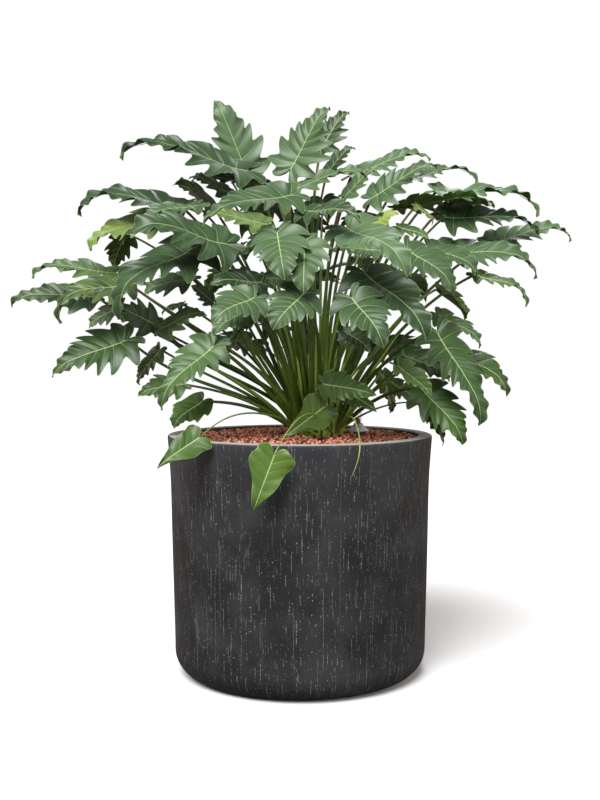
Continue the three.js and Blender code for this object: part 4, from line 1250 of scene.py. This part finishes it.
def skin_vectors(q, v, x, y, length, leaf_look):
    """What a finish reads at each point: its distances in millimetres from the nearest side
    vein, the midrib and the edge, then q, the size of v and x, and the leaf's own look, which
    is its tint, its youth and its shade."""
    side = np.abs(v)[None, :]
    flat = np.stack([x, y], -1) * length
    spacing = np.linalg.norm(np.gradient(flat, axis=0), axis=-1) / np.gradient(q)[:, None]
    from_vein = np.abs(q - np.round(q))[:, None] * spacing
    edge_line = np.linalg.norm(flat - flat[:, len(v) // 2][:, None], axis=-1)
    from_edge = np.maximum(edge_line[:, :1] * (v <= 0) + edge_line[:, -1:] * (v > 0) - edge_line, 0)
    return {
        "distance": np.stack([from_vein, np.abs(y) * length, from_edge], -1).reshape(-1, 3),
        "place": np.stack([q[:, None] + 0 * x, side + 0 * x, x], -1).reshape(-1, 3),
        "look": np.tile(leaf_look, (x.size, 1)),
    }


def fine_blade(row, blade, numbers, play, leaf_look):
    """The blade's upper and under face as parts. They lie half a millimetre to both sides of
    the lifted leaf, and meet at its edge as the root of one less a power of v."""
    q, v, x, y = flat_blade(row, numbers)
    length = blade["length"]
    lift = relief(row, q, v, x, y, length, play)
    thin = SHELL_HALF_THICKNESS * np.sqrt(1 - np.abs(v)[None, :] ** 6) + 0 * x
    thin[[0, -1]] = 0
    upper = blade_at(blade, x, y, lift + thin).reshape(-1, 3)
    under = blade_at(blade, x, y, lift - thin).reshape(-1, 3)
    faces = grid_faces(*x.shape)
    vectors = skin_vectors(q, v, x, y, length, leaf_look)
    return [(upper, faces[:, ::-1], 0, vectors), (under, faces, 1, vectors)]


# %% [markdown]
# The stalk is a tube along the same curve as the plate's stalk, slim under the blade and wide at
# the foot, where it clasps the crown. It goes on as the midrib under the blade and thins out to
# the tip. A rolled leaf is only such a tube, and runs on from its stalk without a bend.

# %% Fine stalk
STALK_SIDES = 9
STALK_POINTS = 22
ROLLED_POINTS, ROLLED_SMOOTHING = 10, 14
USUAL_LENGTH = 140.0
RIB_PLACES = np.array([0.03, 0.08, 0.16, 0.28, 0.42, 0.58, 0.74, 0.88])
RIB_RADII = np.array([1.8, 1.6, 1.4, 1.2, 1.0, 0.8, 0.55, 0.35])


def fine_stalk(row, blade, foot, bow, is_first, leaf_look):
    """The stalk and midrib as one tube. The vector's first number is the share of the way, from
    0 at the foot to 1 at the blade and 2 at the midrib's end. Each point of a rolled leaf moves
    to the mean of its two neighbours and twice itself, a few times over."""
    scale = row["slim"] * (1 if is_first else LATER_STALK_SCALE)
    radii_at = (STALK_FOOT_RADIUS * scale, STALK_END_RADIUS * scale)
    if row["rolled"]:
        rib_places = np.linspace(0.05, 1, ROLLED_POINTS)
        rib_radii = np.linspace(radii_at[1] * 1.25, 0.4, ROLLED_POINTS)
        lifts = np.zeros(ROLLED_POINTS)
    else:
        rib_places = RIB_PLACES
        rib_radii = RIB_RADII * (0.55 + 0.45 * min(blade["length"] / USUAL_LENGTH, 1.2))
        rib_radii = rib_radii * (0.5 + 0.5 * row["slim"])
        lifts = tip_hump(rib_places, blade["length"]) - 0.85 * rib_radii
    end = blade_at(blade, -0.01, 0, -2.4)
    t = np.linspace(0, 1, STALK_POINTS) ** 0.9
    path = cubic(stalk_controls(foot, blade, bow, row["rise"], end), t)
    radii = radii_at[0] + (radii_at[1] - radii_at[0]) * t ** 0.8
    radii = radii + 0.5 * np.exp(-((t - 1) / 0.03) ** 2)
    under = foot - UP * FOOT_DEPTH * 0.8
    rib = blade_at(blade, rib_places, 0, lifts)
    path = np.concatenate([[under], path, rib])
    if row["rolled"]:
        for _ in range(ROLLED_SMOOTHING):
            path[1:-1] = (path[:-2] + 2 * path[1:-1] + path[2:]) / 4
    radii = np.concatenate([[radii[0] * 1.25], radii, rib_radii])
    share = np.concatenate([[0], t, 1 + rib_places])
    points, faces = tube(path, radii, STALK_SIDES, blade["across"])
    look = np.column_stack([share, np.tile(leaf_look[:2], (len(share), 1))])
    look = np.repeat(look, STALK_SIDES, axis=0)
    return points, faces, 2, {"stalk": look}


# %% [markdown]
# ## The leaf finishes
#
# A xanadu blade is smooth and waxy. Its upper face is a greyed green with paler yellow-green
# veins and a thin pale edge, and it takes a soft sheen from the sky. The under face is green,
# painted deeper and yellower as painted light shining through the leaf and painted shade under it.
# Veins are drawn from the distances that each point carries, in millimetres. The finest real veins
# are too thin to show, so five faint ones stand for them between two side veins. Slow patches of
# about 45 mm and a mottle of about 4 mm vary the green.

# %% Leaf lines and tint
VEIN_HALF_WIDTH = 0.85
RIB_HALF_WIDTH = 1.15
EDGE_WIDTH = 0.9
FINE_VEINS = 5.0
FINE_SHARE, SIDE_SHARE, RIB_SHARE, EDGE_SHARE = 0.09, 0.52, 0.85, 0.45
PATCH_WIDTH, MOTTLE_WIDTH = 45.5, 3.85


def pale_lines(tree, place, distance):
    """The fine veins, side veins, midrib and edge as soft lines, each from 0 to 1. A side vein
    thins out to the edge, and the midrib to the tip."""
    fine = add(tree, MATH, place["X"], FINE_VEINS, operation="MULTIPLY")
    fine = add(tree, MATH, fine, 0.5, operation="PINGPONG")
    fine = add(tree, FADE, fine, 0.14, 0.0, **SOFT)
    narrowing = add(tree, MATH, place["Y"], -0.6, 1.0, operation="MULTIPLY_ADD")
    from_vein = add(tree, MATH, distance["X"], narrowing, operation="DIVIDE")
    side_vein = add(tree, FADE, from_vein, VEIN_HALF_WIDTH * 1.3, VEIN_HALF_WIDTH * 0.4, **SOFT)
    fading = add(tree, FADE, place["Y"], 1.05, 0.6, **SOFT)
    side_vein = add(tree, MATH, side_vein, fading, operation="MULTIPLY")
    tapering = add(tree, MATH, place["Z"], -0.55, 1.0, operation="MULTIPLY_ADD")
    from_rib = add(tree, MATH, distance["Y"], tapering, operation="DIVIDE")
    rib = add(tree, FADE, from_rib, RIB_HALF_WIDTH * 1.3, RIB_HALF_WIDTH * 0.6, **SOFT)
    edge = add(tree, FADE, distance["Z"], EDGE_WIDTH, EDGE_WIDTH * 0.4, **SOFT)
    return fine, side_vein, rib, edge


def leaf_tint(tree, look, patches, mottle, deep, fresh, young, shaded):
    """The skin between the veins: from deep to fresh by the leaf and its patches, to young by
    its age, to the shaded green low down in the plant, and speckled with the fresh one."""
    tint = add(tree, MATH, patches, 0.5, look["X"], operation="MULTIPLY_ADD")
    tint = add(tree, FADE, tint, 0.1, 1.4, **SOFT)
    colour = add(tree, BLEND, tint, linear(deep), linear(fresh), **COLOURS)
    aged = add(tree, MATH, patches, 1.6, -0.8, operation="MULTIPLY_ADD")
    aged = add(tree, MATH, aged, look["Y"], operation="ADD")
    aged = add(tree, FADE, aged, 0.0, 1.0, **SOFT)
    aged = add(tree, MATH, aged, look["Y"], operation="MULTIPLY")
    colour = add(tree, BLEND, aged, colour, linear(young), **COLOURS)
    lower = add(tree, MATH, look["Z"], 0.8, operation="MULTIPLY")
    colour = add(tree, BLEND, lower, colour, linear(shaded), **COLOURS)
    speckled = add(tree, FADE, mottle, 0.45, 0.75, **SOFT)
    speckled = add(tree, MATH, speckled, 0.15, operation="MULTIPLY")
    return add(tree, BLEND, speckled, colour, linear(fresh), **COLOURS)


# %% Blade finishes


def blade_finish(name, greens, vein, roughness, bump_strength):
    """A blade's face: its tint, under pale lines that each show by a share of their own. The
    side veins show less low down in the plant. Veins are grooves, and the mottle is a faint
    grain between them."""
    material, tree, shader = finish(name, Roughness=roughness, IOR=1.45)
    place = add(tree, SPLIT, add(tree, ATTRIBUTE, attribute_name="place").outputs["Vector"]).outputs
    look = add(tree, SPLIT, add(tree, ATTRIBUTE, attribute_name="look").outputs["Vector"]).outputs
    distance = add(tree, SPLIT, add(tree, ATTRIBUTE, attribute_name="distance").outputs["Vector"]).outputs
    where = add(tree, PLACE).outputs["Object"]
    patches = add(tree, NOISE, where, scale_of(PATCH_WIDTH), 4.0)
    mottle = add(tree, NOISE, where, scale_of(MOTTLE_WIDTH), 3.0)
    colour = leaf_tint(tree, look, patches, mottle, *greens)
    fine, side_vein, rib, edge = pale_lines(tree, place, distance)
    fine = add(tree, MATH, fine, FINE_SHARE, operation="MULTIPLY")
    side_share = add(tree, MATH, look["Z"], -0.3, SIDE_SHARE, operation="MULTIPLY_ADD")
    side_share = add(tree, MATH, side_vein, side_share, operation="MULTIPLY")
    rib_share = add(tree, MATH, rib, RIB_SHARE, operation="MULTIPLY")
    edge_share = add(tree, MATH, edge, EDGE_SHARE, operation="MULTIPLY")
    for share in (fine, side_share, rib_share, edge_share):
        colour = add(tree, BLEND, share, colour, linear(vein), **COLOURS)
    feed(tree, shader.inputs["Base Color"], colour)
    veins = add(tree, MATH, side_vein, rib, operation="MAXIMUM")
    grooves = add(tree, MATH, veins, fine, operation="ADD")
    grooves = add(tree, MATH, grooves, -1.0, operation="MULTIPLY")
    grained = add(tree, MATH, mottle, 0.12, grooves, operation="MULTIPLY_ADD")
    feed(tree, shader.inputs["Normal"], add(tree, BUMP, bump_strength, 0.0008, None, grained))
    return material


# The greens are deep, fresh, young and shaded.
UPPER_GREENS = ("#263E20", "#536C48", "#8FA63A", "#37560F")
# The under face's greens are painted deep and yellow: painted light through the leaf and painted shade
# under it.
UNDER_GREENS = ("#1E3606", "#365410", "#6C872A", "#2B4A0B")
upper_face = blade_finish("waxy leaf skin, upper face", UPPER_GREENS, "#A3B77C", 0.42, 0.6)
under_face = blade_finish("leaf skin, under face", UNDER_GREENS, "#66782F", 0.5, 0.9)
print("blade finish nodes", len(upper_face.node_tree.nodes))

# %% [markdown]
# The stalk is a smooth, firm skin over long fibres. It is pale green at the foot, deep green above
# it, brown farther up and red-brown at the blade, and the midrib's underside is green again. Young
# leaves' stalks are paler, and so are some others by a number of their own. The streaks follow
# the stalk, a little over 2 mm wide.

# %% Stalk finish
STREAK_WIDTH = 2.38

stalk_skin, tree, shader = finish("leaf stalk skin", Roughness=0.4, IOR=1.45)
stalk = add(tree, SPLIT, add(tree, ATTRIBUTE, attribute_name="stalk").outputs["Vector"]).outputs
where = add(tree, PLACE).outputs["Object"]
drawn_out = add(tree, STRETCH, where, None, None, (1.0, 1.0, 0.12))
streaks = add(tree, NOISE, drawn_out, scale_of(STREAK_WIDTH), 2.0)
shifted = add(tree, MATH, stalk["Y"], 0.3, stalk["X"], operation="MULTIPLY_ADD")
above_foot = add(tree, FADE, shifted, 0.02, 0.34, **SOFT)
browning = add(tree, FADE, shifted, 0.8, 1.2, **SOFT)
at_blade = add(tree, FADE, stalk["X"], 0.93, 1.05, **SOFT)
on_rib = add(tree, FADE, stalk["X"], 1.25, 1.8, **SOFT)
youth = add(tree, MATH, stalk["Z"], 0.7, operation="MULTIPLY")
streaky = add(tree, FADE, streaks, 0.45, 0.7, **SOFT)
streaky = add(tree, MATH, streaky, 0.3, operation="MULTIPLY")
colour = add(tree, BLEND, above_foot, linear("#86A238"), linear("#31520A"), **COLOURS)
colour = add(tree, BLEND, browning, colour, linear("#3E3222"), **COLOURS)
colour = add(tree, BLEND, at_blade, colour, linear("#5E2A24"), **COLOURS)
colour = add(tree, BLEND, on_rib, colour, linear("#76843F"), **COLOURS)
colour = add(tree, BLEND, youth, colour, linear("#9CAE58"), **COLOURS)
paler = add(tree, FADE, stalk["Y"], 0.5, 1.0, **SOFT)
on_stalk = add(tree, FADE, stalk["X"], 0.85, 0.35, **SOFT)
paler = add(tree, MATH, paler, on_stalk, operation="MULTIPLY")
paler = add(tree, MATH, paler, 0.7, operation="MULTIPLY")
colour = add(tree, BLEND, paler, colour, linear("#86A834"), **COLOURS)
colour = add(tree, BLEND, streaky, colour, linear("#93A04C"), **COLOURS)
feed(tree, shader.inputs["Base Color"], colour)
feed(tree, shader.inputs["Normal"], add(tree, BUMP, 0.3, 0.0005, None, streaks))
print("stalk finish nodes", len(tree.nodes))

# %% [markdown]
# Every shoot is now made as one piece and takes its plate's place. Its foot is the middle of the
# plate's lowest ring of corners. A leaf draws its waves and its tint, and counts as shaded the
# more, the lower its blade starts.

# %% Make every shoot
SHADE_FROM, SHADE_DEPTH = 600.0, 150.0
LEAST_PLAY, MOST_PLAY = [1.4, 0.4, 0, -1], [2.6, 1.6, 6.3, 1]
leaf_seed = FIRST_SEED
play_draw = np.random.default_rng(5)
worst_blade, worst_stalk, triangles = 0.0, 0.0, 0
for shoot, rows in all_shoots.items():
    corners = corners_of(f"shoot_{shoot}")
    start_ring = corners[np.abs(corners[:, 2] - (CROWN_TOP - FOOT_DEPTH)) < 0.02]
    foot = np.array([*start_ring[:, :2].mean(axis=0), CROWN_TOP + STALK_CLEARANCE])
    parts = []
    for i, row in enumerate(rows):
        leaf_seed += SEED_STEP
        numbers = iter(number_row(leaf_seed, 4 * row["lobes"]))
        blade, bow, blade_miss, stalk_miss = settle(row, corners, foot, i == 0)
        worst_blade = max(worst_blade, blade_miss)
        worst_stalk = max(worst_stalk, stalk_miss)
        play = play_draw.uniform(LEAST_PLAY, MOST_PLAY)
        low = np.clip((SHADE_FROM - row["base"][1]) / SHADE_DEPTH, 0, 1)
        leaf_look = np.array([play_draw.uniform(), row["young"], low])
        if not row["rolled"]:
            parts += fine_blade(row, blade, numbers, play, leaf_look)
        parts.append(fine_stalk(row, blade, foot, bow, i == 0, leaf_look))
    piece = make_piece(f"leaves_{shoot}", parts, [upper_face, under_face, stalk_skin],
                       [f"shoot_{shoot}"])
    triangles += len(piece.data.polygons)
print("leaf triangles", triangles, "worst misses", round(worst_blade, 3), round(worst_stalk, 3))

# %% [markdown]
# ## Sheaths
#
# Between the stalks stand the pale sheaths that wrapped young leaves: slim, pointed, and a
# bright yellow-green, with green lines along them. Their skin is thin and a little waxy. The
# real lines are half a millimetre wide, and are drawn about three times as wide to show. Each
# sheath is a tube that leans out as a power of the way up, thins as another, and ends in a point.

# %% Sheath finish
LINE_WIDTH = 1.667

sheath_skin, tree, shader = finish("young leaf sheath", Roughness=0.45, IOR=1.45)
stalk = add(tree, SPLIT, add(tree, ATTRIBUTE, attribute_name="stalk").outputs["Vector"]).outputs
where = add(tree, PLACE).outputs["Object"]
drawn_out = add(tree, STRETCH, where, None, None, (1.0, 1.0, 0.1))
lines = add(tree, NOISE, drawn_out, scale_of(LINE_WIDTH), 2.0)
lined = add(tree, FADE, lines, 0.45, 0.65, **SOFT)
lined = add(tree, MATH, lined, 0.35, operation="MULTIPLY")
colour = add(tree, BLEND, stalk["X"], linear("#86A036"), linear("#D0DA66"), **COLOURS)
feed(tree, shader.inputs["Base Color"], add(tree, BLEND, lined, colour, linear("#4E6A22"), **COLOURS))
print("sheath finish nodes", len(tree.nodes))

# %% Sheaths
SHEATH_COUNT = 36
SHEATH_HEIGHTS = (60.0, 190.0)
SHEATH_RADIUS, SHEATH_TIP = 4.2, 0.3
SHEATH_SIDES, SHEATH_POINTS = 7, 12
SHEATH_SUNK = 6.0
sheath_draw = np.random.default_rng(31)

sheath_parts = []
for i in range(SHEATH_COUNT):
    turn_at, out_at, tall, lean, bend = sheath_draw.uniform(size=5)
    turn_at = 2 * np.pi * (i + turn_at) / SHEATH_COUNT
    out_at = 0.35 + 0.62 * out_at
    outward = np.array([math.cos(turn_at), math.sin(turn_at), 0])
    foot = np.array([CROWN_X + CROWN_HALF_WIDTH * out_at * outward[0],
                     CROWN_Y + CROWN_HALF_DEPTH * out_at * outward[1], CROWN_TOP - SHEATH_SUNK])
    height = SHEATH_HEIGHTS[0] + (SHEATH_HEIGHTS[1] - SHEATH_HEIGHTS[0]) * tall
    t = np.linspace(0, 1, SHEATH_POINTS)
    lean_out = height * (0.15 + 0.5 * lean) * out_at
    path = foot + outward * (lean_out * t ** (1.2 + bend))[:, None] + UP * (height * t)[:, None]
    radii = SHEATH_RADIUS * (1 - t) ** 0.75 + SHEATH_TIP
    look = np.repeat(np.stack([t, 0 * t, 0 * t], 1), SHEATH_SIDES, axis=0)
    points, faces = tube(path, radii, SHEATH_SIDES, np.cross(outward, UP))
    sheath_parts.append((points, faces, 0, {"stalk": look}))
make_piece("leaf_sheaths", sheath_parts, [sheath_skin])
print("sheaths", SHEATH_COUNT)

# %% [markdown]
# ## Light and floor
#
# The studio is white. A wide soft key light from above and in front, on the left, shows the
# leaves' sheen, and a weak fill light on the right opens its shadows. Two warm lights at the sides
# draw the planter's edges, and a cool one behind, above the plant, brightens the rims of its
# leaves. The floor is rolled with matt white paint, which shows no gloss. Walls and floor give
# back less light than they show, so the plant is dark between its leaves, as in a large room.

# %% Floor and studio walls
FLOOR_HALF = 6.0
WALL_LIGHT = 0.21


def seen_straight(tree):
    """1 where the camera looks at a surface, also through clear plastic, and 0 for other light."""
    paths = add(tree, "ShaderNodeLightPath").outputs
    return add(tree, MATH, paths["Is Camera Ray"], paths["Is Transmission Ray"], operation="MAXIMUM")


floor_mesh = bpy.data.meshes.new("floor")
floor_mesh.from_pydata([(-FLOOR_HALF, -FLOOR_HALF, 0), (FLOOR_HALF, -FLOOR_HALF, 0),
                        (FLOOR_HALF, FLOOR_HALF, 0), (-FLOOR_HALF, FLOOR_HALF, 0)], [], [(0, 1, 2, 3)])
floor = bpy.data.objects.new("floor", floor_mesh)
floor_paint, tree, shader = finish("matt white floor", Roughness=0.9)
floor_colour = add(tree, BLEND, seen_straight(tree), linear("#707070"), linear("#E4E4E4"), **COLOURS)
feed(tree, shader.inputs["Base Color"], floor_colour)
floor_mesh.materials.append(floor_paint)
bpy.context.scene.collection.objects.link(floor)

world = bpy.data.worlds.new("studio")
world.use_nodes = True
tree = world.node_tree
dim = add(tree, "ShaderNodeBackground", linear("#FDFDFF"), WALL_LIGHT)
white = add(tree, "ShaderNodeBackground", linear("#FFFFFF"), 1.0)
either = add(tree, "ShaderNodeMixShader", seen_straight(tree), dim, white)
feed(tree, tree.nodes["World Output"].inputs["Surface"], either)
bpy.context.scene.world = world
print("floor", 2 * FLOOR_HALF, "m wide")

# %% Lights
KEY_STRENGTH, KEY_SPREAD_DEGREES = 5.3, 38.0
SOFT_LIGHTS = [
    # name, place and target in metres, width in metres, watts, colour
    ("fill", (1.1, -1.9, 0.9), (0.1, 0, 0.45), 0.8, 11.0, "#FFFFFF"),
    ("side_left", (-1.8, 0.5, 0.8), (0, 0, 0.4), 1.0, 9.0, "#FFE8D6"),
    ("side_right", (1.8, 0.5, 0.8), (0, 0, 0.4), 1.0, 9.0, "#FFE8D6"),
    ("back", (0.3, 1.9, 1.9), (0, 0, 0.4), 1.0, 15.0, "#F4FAFF"),
]


def aim(light, place, target):
    """Stands a light at a place and turns it to a target: first down by the angle between up
    and the way back from the target, then round to that way."""
    away = np.array(place) - np.array(target)
    flat = math.hypot(away[0], away[1])
    light.location = place
    light.rotation_euler = (math.atan2(flat, away[2]), 0, math.atan2(away[0], -away[1]))
    bpy.context.scene.collection.objects.link(light)


key_data = bpy.data.lights.new("key", "SUN")
key_data.energy = KEY_STRENGTH
key_data.angle = math.radians(KEY_SPREAD_DEGREES)
aim(bpy.data.objects.new("key", key_data), (-0.55, -1.4, 2.5), (0, 0, 0.5))
for name, place, target, width, watts, colour in SOFT_LIGHTS:
    soft_data = bpy.data.lights.new(name, "AREA")
    soft_data.size = width
    soft_data.energy = watts
    soft_data.color = linear(colour)[:3]
    aim(bpy.data.objects.new(name, soft_data), place, target)
print("lights", 1 + len(SOFT_LIGHTS))
